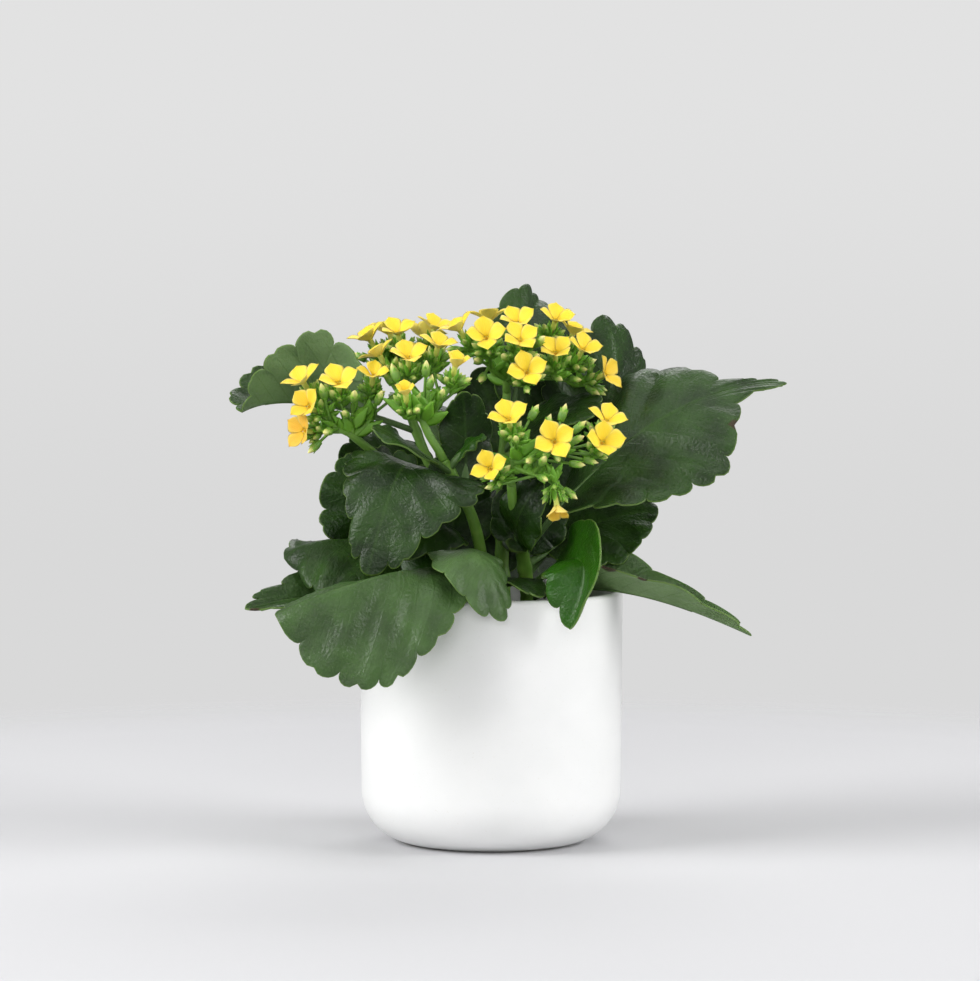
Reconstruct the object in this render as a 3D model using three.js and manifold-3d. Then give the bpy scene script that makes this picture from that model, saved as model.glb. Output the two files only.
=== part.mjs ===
// A potted kalanchoe: a white ceramic pot full of soil, five leafy shoots with scalloped leaves, six
// flower heads and their four-petalled yellow blooms. Millimetres, +Z up, origin at the middle of the
// pot's foot. The plant's front faces -Y, its right is +X.
import * as THREE from "three";
import { mergeVertices } from "three/addons/utils/BufferGeometryUtils.js";
import Module from "manifold-3d";

const wasm = await Module();
wasm.setup();

// ---- Driving dimensions ----

const POT = {
  height: 115,
  rimRadius: 60,
  bodyRadius: 59, // just above the rounded foot
  cornerRadius: 24, // of the rounded foot
  wall: 4,
  floor: 6,
  sides: 36,
};
const SOIL = { top: 104, crown: 2.5, gap: 0.3, sides: 20 };
const STEM = { radius: 3.2, topRadius: 2, depth: 26, sides: 6 }; // depth is below the soil's top
const JOINT_GAP = 0.3; // between a shoot and its flower head, and between a calyx and its bloom

const LEAF = {
  thickness: 1.3, // at the midrib
  edgeThickness: 0.9,
  petioleHalf: 2.1,
  petioleThickness: 3,
  petioleRows: [0, 0.55], // shares of the leaf's stalk
  fullness: 0.85, // below 1 the blade is blunter than a sine
  middle: 0.4, // where on the blade its outline shrinks toward between two lobes
  rootLag: 1.2, // above 1 the rows lean toward the tip, as veins do
  fold: 0.3, // share of the length over which the blade takes its full bend
};
const LOBE = {
  smoothBase: 0.2, // share of the edge before the first lobe
  baseParts: [0.1, 0.5, 1], // where the smooth base has points
  sharpness: 0.5, // below 1 the lobes are round and the notches sharp
  parts: [0.24, 0.76, 1], // where each lobe's edge has points
  root: 0.6, // where on the midrib a lobe's rows start
  tipRoot: 0.985, // where the last lobe's do
};
const BLOOM = {
  tube: 6.2,
  throatRadius: 1.25,
  tubeFootRadius: 1.15,
  petal: 9.6,
  petalHalf: 4.3,
  widest: 0.5, // share of a petal's length
  cup: 0.3, // a petal's sides stand this share of its half width above its middle
  tipDroop: 0.6,
  heartRise: 0.2,
  thickness: 0.7,
  lift: 33, // degrees that the petals rise from flat
};
const CALYX = {
  below: 6.5, // its floor under the bloom's throat
  depth: 3,
  shoulder: 0.7, // its widest ring under its floor
  radius: 2.1,
  floorRadius: 1.55,
  sinusRadius: 1.85, // of the notches between the sepals
  sinusRise: 0.5,
  sepal: 4,
  flare: 1.1,
};
const BUD = { length: 8, radius: 1.8, widest: 0.45 };
const PEDICEL = { radius: 0.65 };
const HEAD = {
  topRadius: 1.8,
  branchRadius: 1.4,
  branchEndRadius: 1,
  sink: 1.6, // of the first branch's start below the stem's top
  stagger: 0.7, // from one branch's start to the next one's
  sag: 1, // of a branch's middle
  spread: 0.8, // share of a branch that bears flowers
};
const UPRIGHT = 0.05; // a stalk nearer to the Y axis than this is set out from X

const vec = (p) => new THREE.Vector3(...p);
const lerp = THREE.MathUtils.lerp;
const rad = THREE.MathUtils.degToRad;

// ---- Solids from meshes ----

// A list of triangles, each of three points, as a closed geometry with shared corners.
function geometryOfTriangles(triangles) {
  const merged = mergeVertices(
    new THREE.BufferGeometry().setFromPoints(triangles.flat()),
    1e-4,
  );
  const index = merged.index.array;
  const kept = [];
  for (let i = 0; i < index.length; i += 3) {
    const [a, b, c] = [index[i], index[i + 1], index[i + 2]];
    if (a !== b && b !== c && c !== a) kept.push(a, b, c);
  }
  return merged.setIndex(kept);
}

function solidOf(geometry) {
  const bare = geometry.index ? geometry.clone() : mergeVertices(geometry, 1e-4);
  bare.deleteAttribute("normal");
  bare.deleteAttribute("uv");
  const merged = mergeVertices(bare, 1e-4);
  return new wasm.Manifold(
    new wasm.Mesh({
      numProp: 3,
      vertProperties: merged.attributes.position.array,
      triVerts: new Uint32Array(merged.index.array),
    }),
  );
}

function geometryOfSolid(solid) {
  const mesh = solid.getMesh();
  const flat = new THREE.BufferGeometry()
    .setAttribute("position", new THREE.BufferAttribute(mesh.vertProperties, 3))
    .setIndex(new THREE.BufferAttribute(mesh.triVerts, 1))
    .toNonIndexed();
  flat.computeVertexNormals();
  return flat;
}

const fuse = (geometries) => wasm.Manifold.union(geometries.map(solidOf));

// ---- Stalks ----

// A round stalk along points, its radius running evenly from radii[0] to radii[1].
function stalk(points, radii, sides, steps) {
  const curve = new THREE.CatmullRomCurve3(points.map(vec), false, "catmullrom", 0.5);
  const rings = [];
  let across = null;
  for (let i = 0; i <= steps; i++) {
    const t = i / steps;
    const along = curve.getTangent(t);
    across ??= new THREE.Vector3(0, 1, 0).cross(along).lengthSq() > UPRIGHT
      ? new THREE.Vector3(0, 1, 0)
      : new THREE.Vector3(1, 0, 0);
    across = across.clone().addScaledVector(along, -across.dot(along)).normalize();
    const other = along.clone().cross(across);
    const radius = lerp(radii[0], radii[1], t);
    rings.push(
      Array.from({ length: sides }, (_, k) => {
        const turn = (2 * Math.PI * k) / sides;
        return curve
          .getPoint(t)
          .addScaledVector(across, radius * Math.cos(turn))
          .addScaledVector(other, radius * Math.sin(turn));
      }),
    );
  }
  return loft(rings);
}

// A closed solid through rings of points, all turning the same way, with flat ends.
function loft(rings) {
  const triangles = [];
  const sides = rings[0].length;
  for (let i = 0; i + 1 < rings.length; i++)
    for (let k = 0; k < sides; k++) {
      const n = (k + 1) % sides;
      triangles.push([rings[i][k], rings[i][n], rings[i + 1][n]]);
      triangles.push([rings[i][k], rings[i + 1][n], rings[i + 1][k]]);
    }
  const last = rings.at(-1);
  for (let k = 1; k + 1 < sides; k++) {
    triangles.push([rings[0][0], rings[0][k + 1], rings[0][k]]);
    triangles.push([last[0], last[k], last[k + 1]]);
  }
  return geometryOfTriangles(triangles);
}

// ---- Leaves ----

// The leaf's flat outline, from its stalk to its tip: for each row how far along the midrib its edge
// lies, how far out, and where on the midrib the row starts. Rounded lobes run from the smooth base to
// one lobe at the tip.
function leafRows(leaf) {
  const rows = LEAF.petioleRows.map((share) => ({
    along: leaf.stalk * share,
    out: LEAF.petioleHalf,
    root: leaf.stalk * share,
  }));
  for (const share of LOBE.baseParts.map((part) => part * LOBE.smoothBase))
    rows.push(leafEdge(leaf, share, share));
  const lobeShare = (lobe) => LOBE.smoothBase + ((1 - LOBE.smoothBase) * lobe) / (leaf.lobes + 0.5);
  for (let lobe = 0; lobe < leaf.lobes; lobe++)
    for (const part of LOBE.parts)
      rows.push(leafEdge(leaf, lobeShare(lobe + part), lobeShare(lobe + LOBE.root)));
  rows.push(leafEdge(leaf, lobeShare(leaf.lobes + LOBE.parts[0]), LOBE.tipRoot));
  rows.push(leafEdge(leaf, 1, 1));
  return rows;
}

// The edge of a leaf's blade at a share of the way from the blade's base to its tip. All rows of one
// lobe start at one point of the midrib.
function leafEdge(leaf, share, rootShare) {
  const turn = Math.PI * share;
  const reachOf = (part) => (1 - Math.cos(Math.PI * part)) / 2;
  const reach = reachOf(share);
  const lobe = ((leaf.lobes + 0.5) * (share - LOBE.smoothBase)) / (1 - LOBE.smoothBase);
  const bulge =
    lobe < 0
      ? Math.cos((Math.PI / 2) * (share / LOBE.smoothBase) ** 3)
      : Math.abs(Math.sin(Math.PI * lobe));
  const scale = 1 - leaf.cut * (1 - Math.max(bulge, 0) ** LOBE.sharpness);
  const narrowing = 1 - leaf.point * THREE.MathUtils.smoothstep(reach, ...leaf.narrow);
  const full = Math.sin(turn) ** LEAF.fullness * (1 + leaf.skew * Math.cos(turn)) * narrowing;
  return {
    along: leaf.stalk + (1 - leaf.stalk) * (LEAF.middle + (reach - LEAF.middle) * scale),
    out: Math.hypot(full * scale, (LEAF.petioleHalf / leaf.half) * (1 - share)),
    root: leaf.stalk + (1 - leaf.stalk) * reachOf(rootShare) ** LEAF.rootLag,
  };
}

// The leaf's middle surface: a point at a share along the midrib and a distance out from it, on side -1
// or 1.
function leafPoint(leaf, along, side, distance) {
  const spine = new THREE.QuadraticBezierCurve3(...[leaf.from, leaf.bend, leaf.tip].map(vec));
  const ahead = spine.getTangent(along);
  const up = leafUp(leaf, along);
  const across = ahead.clone().cross(up).multiplyScalar(side);
  const half = leaf.half * (side < 0 ? 1 : leaf.rightShare);
  const ease = THREE.MathUtils.smoothstep(along, 0.5 * leaf.stalk, leaf.stalk + LEAF.fold);
  const [near, far] = (side < 0 ? leaf.left : leaf.right).map((angle) => rad(angle) * ease);
  const bendRate = (far - near) / half || 1e-6;
  const end = near + bendRate * distance;
  const outward = (Math.sin(end) - Math.sin(near)) / bendRate;
  const down = (Math.cos(near) - Math.cos(end)) / bendRate;
  const phase = leaf.ripples * along + (side < 0 ? 0 : leaf.offset);
  const ripple = leaf.wave * ease * (distance / half) ** 2 * Math.sin(2 * Math.PI * phase);
  return spine
    .getPoint(along)
    .addScaledVector(across, outward)
    .addScaledVector(up, ripple - down);
}

// The way the leaf's upper face looks at a share along its midrib.
function leafUp(leaf, along) {
  const spine = new THREE.QuadraticBezierCurve3(...[leaf.from, leaf.bend, leaf.tip].map(vec));
  const ahead = spine.getTangent(along);
  const up = vec(leaf.up);
  return up.addScaledVector(ahead, -up.dot(ahead)).normalize();
}

function leafNormal(leaf, along, side, distance) {
  if (distance === 0) return leafUp(leaf, along);
  const step = 0.01;
  const near = (ahead, outward) => leafPoint(leaf, along + ahead, side, distance + outward);
  const length = near(step, 0).sub(near(-step, 0));
  const width = near(0, step).sub(near(0, -step));
  return width.cross(length).multiplyScalar(side).normalize();
}

const LEAF_SHAPE = {
  half: 30,
  rightShare: 1, // the right half's width over the left's
  stalk: 0.14,
  lobes: 4,
  cut: 0.14,
  skew: 0.15, // above 0 the blade is widest near its base
  point: 0, // how far the tip narrows to a point
  narrow: [0.5, 0.85], // the shares of the blade over which it does
  left: [-8, 20],
  right: [-8, 20],
  wave: 1.5,
  ripples: 2.5, // waves along each edge
  offset: 0.37, // of the right edge's waves from the left's
  columns: 2, // of quads on each side of the midrib
};

// A leaf as a closed plate about its middle surface, split into triangles alike on both faces.
function leafGeometry(given) {
  const leaf = { ...LEAF_SHAPE, ...given };
  const rows = leafRows(leaf);
  const faces = [1, -1].map((face) =>
    rows.map((row, i) => {
      const line = [];
      for (let k = -leaf.columns; k <= leaf.columns; k++) {
        const side = Math.sign(k) || 1;
        const part = i === rows.length - 1 ? 0 : Math.abs(k) / leaf.columns;
        const half = leaf.half * (side < 0 ? 1 : leaf.rightShare);
        const distance = part * (i < 2 ? LEAF.petioleHalf : row.out * half);
        const along = lerp(row.root, row.along, part);
        const thickness = i < 2 ? LEAF.petioleThickness : lerp(LEAF.thickness, LEAF.edgeThickness, part);
        line.push(
          leafPoint(leaf, along, side, distance)
            .addScaledVector(leafNormal(leaf, along, side, distance), (face * thickness) / 2),
        );
      }
      return line;
    }),
  );
  return plate(faces);
}

// A closed plate between its upper and lower grids of points.
function plate([over, under]) {
  const triangles = [];
  const quad = (a, b, c, d) => triangles.push([a, b, c], [a, c, d]);
  const edge = over[0].length - 1;
  for (let i = 0; i + 1 < over.length; i++) {
    for (let j = 0; j < edge; j++) {
      quad(over[i][j], over[i][j + 1], over[i + 1][j + 1], over[i + 1][j]);
      triangles.push([under[i][j], under[i + 1][j + 1], under[i][j + 1]]);
      triangles.push([under[i][j], under[i + 1][j], under[i + 1][j + 1]]);
    }
    quad(over[i][0], over[i + 1][0], under[i + 1][0], under[i][0]);
    quad(over[i][edge], under[i][edge], under[i + 1][edge], over[i + 1][edge]);
  }
  for (let j = 0; j < edge; j++) quad(over[0][j], under[0][j], under[0][j + 1], over[0][j + 1]);
  return geometryOfTriangles(triangles);
}

// ---- Flowers ----

// Puts what is drawn round +Z at a point, with that axis turned to face a direction.
function placement(at, face, spin = 0) {
  const axis = new THREE.Vector3(0, 0, 1);
  const turn = new THREE.Quaternion()
    .setFromUnitVectors(axis, vec(face).normalize())
    .multiply(new THREE.Quaternion().setFromAxisAngle(axis, spin));
  return new THREE.Matrix4().compose(vec(at), turn, new THREE.Vector3(1, 1, 1));
}

const aimed = (geometry, at, face, spin) => geometry.applyMatrix4(placement(at, face, spin));

const ring = (radius, z, sides, turn = 0) =>
  Array.from({ length: sides }, (_, k) => {
    const angle = turn + (2 * Math.PI * k) / sides;
    return new THREE.Vector3(radius * Math.cos(angle), radius * Math.sin(angle), z);
  });

// The points of one petal at a height above the throat: where it meets its neighbours, its sides and its
// tip.
function petalPoints(bloom, turn, rise) {
  const size = bloom.size ?? 1;
  const lift = rad(bloom.lift ?? BLOOM.lift);
  const about = (radius, angle, z) =>
    new THREE.Vector3(radius * Math.cos(angle), radius * Math.sin(angle), z);
  const out = (reach, aside, raise) =>
    about(BLOOM.throatRadius + reach * Math.cos(lift), turn, rise + reach * Math.sin(lift) + raise)
      .add(about(aside, turn + Math.PI / 2, 0));
  const half = BLOOM.petalHalf * size;
  const wide = BLOOM.widest * BLOOM.petal * size;
  return {
    axis: about(BLOOM.throatRadius, turn, rise),
    sinus: about(BLOOM.throatRadius, turn + Math.PI / 4, rise),
    before: out(wide, -half, BLOOM.cup * half),
    after: out(wide, half, BLOOM.cup * half),
    tip: out(BLOOM.petal * size, 0, -BLOOM.tipDroop * size),
  };
}

// One bloom as a single closed body: a slim tube and four petals that meet at its throat. The throat is
// the origin.
function bloomGeometry(bloom) {
  const turns = [0, 1, 2, 3].map((k) => (Math.PI / 2) * k);
  const over = turns.map((turn) => petalPoints(bloom, turn, BLOOM.thickness));
  const under = turns.map((turn) => petalPoints(bloom, turn, 0));
  const heart = new THREE.Vector3(0, 0, BLOOM.heartRise);
  const foot = ring(BLOOM.tubeFootRadius, -BLOOM.tube, 4, Math.PI / 4);
  const triangles = [];
  const quad = (a, b, c, d) => triangles.push([a, b, c], [a, c, d]);
  for (let k = 0; k < 4; k++) {
    const last = (k + 3) % 4;
    const [a, b] = [over[k], under[k]];
    const [aSinus, bSinus] = [over[last].sinus, under[last].sinus];
    const fan = (petal, sinus) => [
      [sinus, petal.before, petal.axis],
      [petal.before, petal.tip, petal.axis],
      [petal.axis, petal.tip, petal.after],
      [petal.axis, petal.after, petal.sinus],
    ];
    triangles.push(...fan(a, aSinus), ...fan(b, bSinus).map((triangle) => triangle.toReversed()));
    triangles.push([heart, aSinus, a.axis], [heart, a.axis, a.sinus]);
    quad(aSinus, bSinus, b.before, a.before);
    quad(a.before, b.before, b.tip, a.tip);
    quad(a.tip, b.tip, b.after, a.after);
    quad(a.after, b.after, b.sinus, a.sinus);
    triangles.push([bSinus, foot[last], b.axis], [b.axis, foot[last], foot[k]], [b.axis, foot[k], b.sinus]);
  }
  quad(foot[3], foot[2], foot[1], foot[0]);
  return aimed(geometryOfTriangles(triangles), bloom.at, bloom.face, bloom.spin);
}

// The foot of a bloom's calyx, where its own stalk ends.
function calyxFoot(bloom) {
  return vec(bloom.at).addScaledVector(vec(bloom.face).normalize(), -CALYX.below - CALYX.depth);
}

// A bloom's green part as one closed body: its thin stalk from a branch, and a cup with four sepals
// round its tube.
function flowerStalk(bloom, from) {
  const place = placement(bloom.at, bloom.face, (bloom.spin ?? 0) + Math.PI / 4);
  const start = vec(from).applyMatrix4(place.clone().invert());
  const top = -CALYX.below;
  const near = ring(PEDICEL.radius, 0, 4).map((point) => point.add(start));
  const foot = ring(PEDICEL.radius, top - CALYX.depth, 4);
  const cup = ring(CALYX.radius, top - CALYX.shoulder, 4);
  const tips = ring(CALYX.radius + CALYX.flare, top + CALYX.sepal, 4);
  const floor = ring(CALYX.floorRadius, top, 4);
  const sinuses = ring(CALYX.sinusRadius, top + CALYX.sinusRise, 4, Math.PI / 4);
  const triangles = [];
  const quad = (a, b, c, d) => triangles.push([a, b, c], [a, c, d]);
  for (let k = 0; k < 4; k++) {
    const n = (k + 1) % 4;
    quad(near[k], near[n], foot[n], foot[k]);
    quad(foot[k], foot[n], cup[n], cup[k]);
    triangles.push([cup[k], cup[n], sinuses[k]]);
    triangles.push([cup[k], sinuses[k], tips[k]], [cup[n], tips[n], sinuses[k]]);
    triangles.push([floor[k], sinuses[k], floor[n]]);
    triangles.push([floor[k], tips[k], sinuses[k]], [floor[n], sinuses[k], tips[n]]);
  }
  quad(near[3], near[2], near[1], near[0]);
  quad(floor[0], floor[1], floor[2], floor[3]);
  return geometryOfTriangles(triangles).applyMatrix4(place);
}

// A bud given by its middle, with its stalk from a branch.
function budGeometry(middle, from) {
  const axis = vec(middle).sub(vec(from));
  const reach = axis.length();
  const shape = loft([
    ring(PEDICEL.radius, 0, 3),
    ring(PEDICEL.radius, reach - BUD.widest * BUD.length, 3),
    ring(BUD.radius, reach, 3),
    ring(0, reach + (1 - BUD.widest) * BUD.length, 3),
  ]);
  return aimed(shape, from, axis.toArray());
}

// A head's green part as one body: its stem, branches, thin stalks, calyces and buds. Each flower and
// bud belongs to the branch whose end is nearest, and they leave the branch one after another, the
// furthest from its end.
function headGeometries(head) {
  const [below, hub] = head.stem.slice(-2).map(vec);
  const down = below.clone().sub(hub).normalize();
  const branches = head.branches.map((end, i) => {
    const start = hub.clone().addScaledVector(down, HEAD.sink + HEAD.stagger * i);
    const middle = start.clone().lerp(vec(end), 0.5).add(new THREE.Vector3(0, 0, -HEAD.sag));
    return { points: [start.toArray(), middle.toArray(), end], end: vec(end), held: [] };
  });
  const hold = (target, make) => {
    const distance = (branch) => branch.end.distanceTo(target);
    const nearest = branches.reduce((best, branch) => (distance(branch) < distance(best) ? branch : best));
    nearest.held.push({ make, reach: distance(nearest) + target.distanceTo(hub) });
  };
  head.blooms.forEach((bloom) => hold(calyxFoot(bloom), (from) => flowerStalk(bloom, from)));
  head.buds.forEach((middle) => hold(vec(middle), (from) => budGeometry(middle, from)));
  const stalks = branches.flatMap(({ points, held }) => {
    const curve = new THREE.CatmullRomCurve3(points.map(vec), false, "catmullrom", 0.5);
    held.sort((a, b) => b.reach - a.reach);
    return held.map(({ make }, i) => make(curve.getPoint(1 - (HEAD.spread * i) / held.length).toArray()));
  });
  return [
    stalk(head.stem, head.radii, 6, 4),
    ...branches.map(({ points }) => stalk(points, [HEAD.branchRadius, HEAD.branchEndRadius], 4, 2)),
    ...stalks,
  ];
}

// ---- Pot and soil ----

// A closed solid of revolution about Z through a profile of [radius, z] points that starts and ends on
// the axis.
function turned(profile, sides) {
  const inner = profile.slice(1, -1);
  const rings = inner.map(([radius, z]) => ring(radius, z, sides));
  const [first, last] = [profile[0], profile.at(-1)].map(([, z]) => new THREE.Vector3(0, 0, z));
  const triangles = [];
  for (let k = 0; k < sides; k++) {
    const n = (k + 1) % sides;
    triangles.push([first, rings[0][n], rings[0][k]], [last, rings.at(-1)[k], rings.at(-1)[n]]);
    for (let i = 0; i + 1 < rings.length; i++) {
      triangles.push([rings[i][k], rings[i][n], rings[i + 1][n]]);
      triangles.push([rings[i][k], rings[i + 1][n], rings[i + 1][k]]);
    }
  }
  return geometryOfTriangles(triangles);
}

const arc = (cx, cz, radius, from, to, steps) =>
  Array.from({ length: steps + 1 }, (_, i) => {
    const turn = rad(lerp(from, to, i / steps));
    return [cx + radius * Math.cos(turn), cz + radius * Math.sin(turn)];
  });

function potGeometry() {
  const { height, rimRadius, bodyRadius, cornerRadius, wall, floor, sides } = POT;
  const innerCorner = cornerRadius - wall;
  const innerBody = bodyRadius - wall;
  return turned(
    [
      [0, 0],
      ...arc(bodyRadius - cornerRadius, cornerRadius, cornerRadius, -90, 0, 5),
      ...arc(rimRadius - wall / 2, height - wall / 2, wall / 2, 0, 180, 3),
      ...arc(innerBody - innerCorner, floor + innerCorner, innerCorner, 0, -90, 2),
      [0, floor],
    ],
    sides,
  );
}

// The inner radius of the pot's wall at a height above its inner corner.
function wallRadius(z) {
  const [low, high] = [POT.floor + POT.cornerRadius - POT.wall, POT.height - POT.wall / 2];
  return lerp(POT.bodyRadius, POT.rimRadius, (z - low) / (high - low)) - POT.wall;
}

// The soil fills the pot to its domed top, with a plain hole for each shoot's stem.
function soilGeometry(stems) {
  const innerCorner = POT.cornerRadius - POT.wall - SOIL.gap;
  const innerBody = POT.bodyRadius - POT.wall - SOIL.gap;
  const dome = [1, 0.85, 0.55].map((share) => [
    (wallRadius(SOIL.top) - SOIL.gap) * share,
    SOIL.top + SOIL.crown * (1 - share ** 2),
  ]);
  const mound = turned(
    [
      [0, POT.floor + SOIL.gap],
      ...arc(innerBody - innerCorner, POT.floor + SOIL.gap + innerCorner, innerCorner, -90, 0, 2),
      ...dome,
      [0, SOIL.top + SOIL.crown],
    ],
    SOIL.sides,
  );
  const holes = stems.map(([x, y]) =>
    aimed(
      loft([ring(STEM.radius + SOIL.gap, 0, 8), ring(STEM.radius + SOIL.gap, 60, 8)]),
      [x, y, SOIL.top - STEM.depth - SOIL.gap],
      [0, 0, 1],
    ),
  );
  return geometryOfSolid(solidOf(mound).subtract(fuse(holes)));
}

// ---- Shoots ----

// Where a stem passes a height.
function stemPoint(points, z) {
  const curve = new THREE.CatmullRomCurve3(points.map(vec), false, "catmullrom", 0.5);
  let [low, high] = [0, 1];
  for (let i = 0; i < 20; i++) {
    const middle = (low + high) / 2;
    if (curve.getPoint(middle).z < z) low = middle;
    else high = middle;
  }
  return curve.getPoint(low).toArray();
}

// A shoot's stems and leaves as one body. Its first stem runs straight down into the soil.
function shootGeometries(shoot) {
  const [x, y, z] = shoot.stems[0][0];
  const root = loft([ring(STEM.radius, 0, STEM.sides), ring(STEM.radius, STEM.depth + 5, STEM.sides)]);
  const geometries = [aimed(root, [x, y, z - STEM.depth - 3], [0, 0, 1])];
  shoot.stems.forEach((points, i) => {
    const radii = i === 0 ? [STEM.radius, STEM.topRadius] : [STEM.topRadius, STEM.topRadius];
    geometries.push(stalk(points, radii, STEM.sides, 6));
  });
  for (const leaf of shoot.leaves)
    geometries.push(leafGeometry({ ...leaf, from: stemPoint(shoot.stems[leaf.stem ?? 0], leaf.z) }));
  return geometries;
}

// Each leaf leaves its stem at height z, bends toward one point and ends at its tip. up is the way its
// face looks.
const SHOOTS = {
  shoot_left: {
    stems: [
      [[-14, -8, 107], [-18, -8, 125], [-27, -9, 145], [-40, -12, 164], [-50, -16, 175]],
    ],
    leaves: [
      { name: "front_left_drape", z: 122, bend: [-31, -84, 139], tip: [-95, -78, 111],
        up: [-0.5, -0.68, 0.54], half: 44.5, rightShare: 0.42, stalk: 0.17, lobes: 5, skew: -0.36,
        left: [33, 39], right: [37, 47] },
      { name: "left_drape", z: 153, bend: [-35, -52, 207], tip: [-55, -56, 126], up: [0.03, -0.48, 0.88],
        half: 39.5, rightShare: 0.69, stalk: 0.24, skew: 0.25, point: 0.15, left: [3, 0],
        right: [-11, 21] },
      { name: "low_left", z: 130, bend: [-79, -30, 148], tip: [-93, -25, 131], up: [0.42, -0.5, 0.75],
        half: 38, rightShare: 1.28, stalk: 0.18, skew: 0.01, point: 0.06, left: [-6, 5], right: [45, 49],
        columns: 1 },
      { name: "lowest_left", z: 118, bend: [-58, -24, 120], tip: [-110, -42, 110], up: [0.17, -0.07, 0.98],
        half: 30, rightShare: 0.66, stalk: 0.13, skew: 0.2, point: 0.3, left: [3, -18], right: [-63, -8],
        columns: 1 },
      { name: "mid_left", z: 145, bend: [-39, -9, 151], tip: [-77, -11, 163], up: [0.55, -0.79, 0.26],
        half: 32, rightShare: 0.96, stalk: 0.11, skew: -0.05, point: 0.05, left: [41, -26], right: [5, -2],
        columns: 1 },
      { name: "rim_pale", z: 114, bend: [-12, -66, 164], tip: [6, -67, 107], up: [0.12, -0.6, 0.75],
        half: 15, rightShare: 1.35, stalk: 0.22, skew: 0.1, left: [20, 45], right: [0, 15],
        columns: 1 },
      { name: "rim_tip", z: 126, bend: [-26, -34, 148], tip: [-45, -28, 117], up: [-0.07, -0.6, 0.8],
        half: 14, lobes: 3, left: [-10, 18], right: [-7, 25], columns: 1 },
      { name: "centre_left", z: 137, bend: [-20, -30, 163], tip: [-47, -37, 133], up: [0.06, -0.61, 0.79],
        half: 22, left: [-8, 19], right: [-11, 17], columns: 1 },
      { name: "inner_left", z: 126, bend: [-16, 0, 150], tip: [-17, 3, 178], up: [0, -0.97, 0.2],
        half: 19, columns: 1 },
    ],
  },
  shoot_centre: {
    stems: [
      [[-2, -12, 107], [-3, -15, 122], [-7, -24, 145], [-14, -31, 163], [-21, -34, 176]],
    ],
    leaves: [
      { name: "upper_blade", z: 159, bend: [-10, -19, 186], tip: [-13, -35, 207], up: [0.12, -0.96, 0.24],
        half: 12.5, lobes: 3, left: [-16, 19], right: [-11, 19], columns: 1 },
      { name: "bract_left", z: 170, bend: [-42, -54, 188], tip: [-52, -42, 192], up: [-0.04, -0.28, 0.96],
        half: 8, lobes: 3, left: [-9, 18], right: [-6, 19], columns: 1 },
      { name: "bract_right", z: 172, bend: [-8, -38, 188], tip: [-2, -39, 186], up: [-0, -0.51, 0.86],
        half: 4, lobes: 2, left: [-8, 20], right: [-8, 20], columns: 1 },
      { name: "rim_small", z: 114, bend: [11, -43, 131], tip: [22, -62, 117], up: [0.27, -0.44, 0.86],
        half: 12, lobes: 3, left: [-3, 16], right: [-10, 14], columns: 1 },
    ],
  },
  shoot_right: {
    stems: [
      [[17, -10, 107], [16, -14, 120], [13, -26, 140], [10, -38, 156], [9, -45, 166]],
    ],
    leaves: [
      { name: "right_sail", z: 132, bend: [71, -36, 212], tip: [134, -4, 209], up: [-0.59, 0.04, 0.81],
        half: 39, rightShare: 1.14, stalk: 0.12, lobes: 6, skew: 0.0, point: 0.87,
        narrow: [0.6, 0.78], left: [-54, -22], right: [45, 58] },
      { name: "rim_bright", z: 116, bend: [54, -66, 155], tip: [35, -65, 103], up: [0.12, -0.61, 0.78],
        half: 19.5, rightShare: 1, stalk: 0.11, lobes: 3, skew: -0.14, point: 0.01, left: [-70, -80],
        right: [-7, 39], columns: 1 },
      { name: "right_spear", z: 111, bend: [47, -20, 129], tip: [117, -32, 97], up: [0.25, -0.3, 0.92],
        half: 16, rightShare: 1.3, stalk: 0.12, skew: 0.58, point: 0.03, left: [-61, -54],
        right: [-61, -34], columns: 1 },
      { name: "right_mid", z: 127, bend: [50, -2, 152], tip: [76, -4, 150], up: [-0, -0.66, 0.75],
        half: 25, left: [-8, 20], right: [-10, 19], columns: 1 },
      { name: "right_low", z: 122, bend: [43, 18, 155], tip: [64, 6, 141], up: [-0.26, -0.32, 0.91],
        half: 22, left: [15, 51], right: [-8, 21], columns: 1 },
      { name: "centre_right", z: 137, bend: [6, -46, 146], tip: [23, -46, 168], up: [-0.17, -0.84, 0.52],
        half: 14, lobes: 3, left: [6, 14], right: [-27, 22], columns: 1 },
      { name: "inner_right", z: 126, bend: [17, -16, 148], tip: [20, -16, 172], up: [0, -0.97, 0.2],
        half: 18, lobes: 3, columns: 1 },
    ],
  },
  shoot_back: {
    stems: [
      [[6, 18, 107], [5, 17, 130], [5, 13, 155], [6, 10, 180], [7, 9, 200]],
      [[5, 15, 138], [12, 23, 158], [19, 31, 174]],
    ],
    leaves: [
      { name: "under_blooms", z: 177, bend: [22, -7, 201], tip: [51, -18, 198], up: [0.01, -0.58, 0.81],
        half: 16, left: [-8, 21], right: [-8, 20], columns: 1 },
      { name: "dark_right", z: 151, bend: [74, 8, 200], tip: [51, 29, 239], up: [0.49, -0.83, 0.27],
        half: 31.5, rightShare: 0.95, stalk: 0.12, lobes: 5, skew: -0.12, point: 0.05, left: [16, 30],
        right: [27, 29], columns: 1 },
      { name: "top", z: 165, bend: [15, 22, 239], tip: [22, 48, 245], up: [0.52, -0.59, 0.61], half: 21,
        rightShare: 1.24, stalk: 0.24, skew: 0.04, point: 0.19, left: [-34, 15], right: [-27, -8],
        columns: 1 },
      { name: "back_low", z: 120, bend: [20, 60, 150], tip: [25, 92, 100], up: [0, 0.41, 0.91], half: 38,
        columns: 1 },
      { name: "back_right", z: 130, bend: [45, 41, 160], tip: [68, 56, 138], up: [0.4, 0.42, 0.82],
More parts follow.
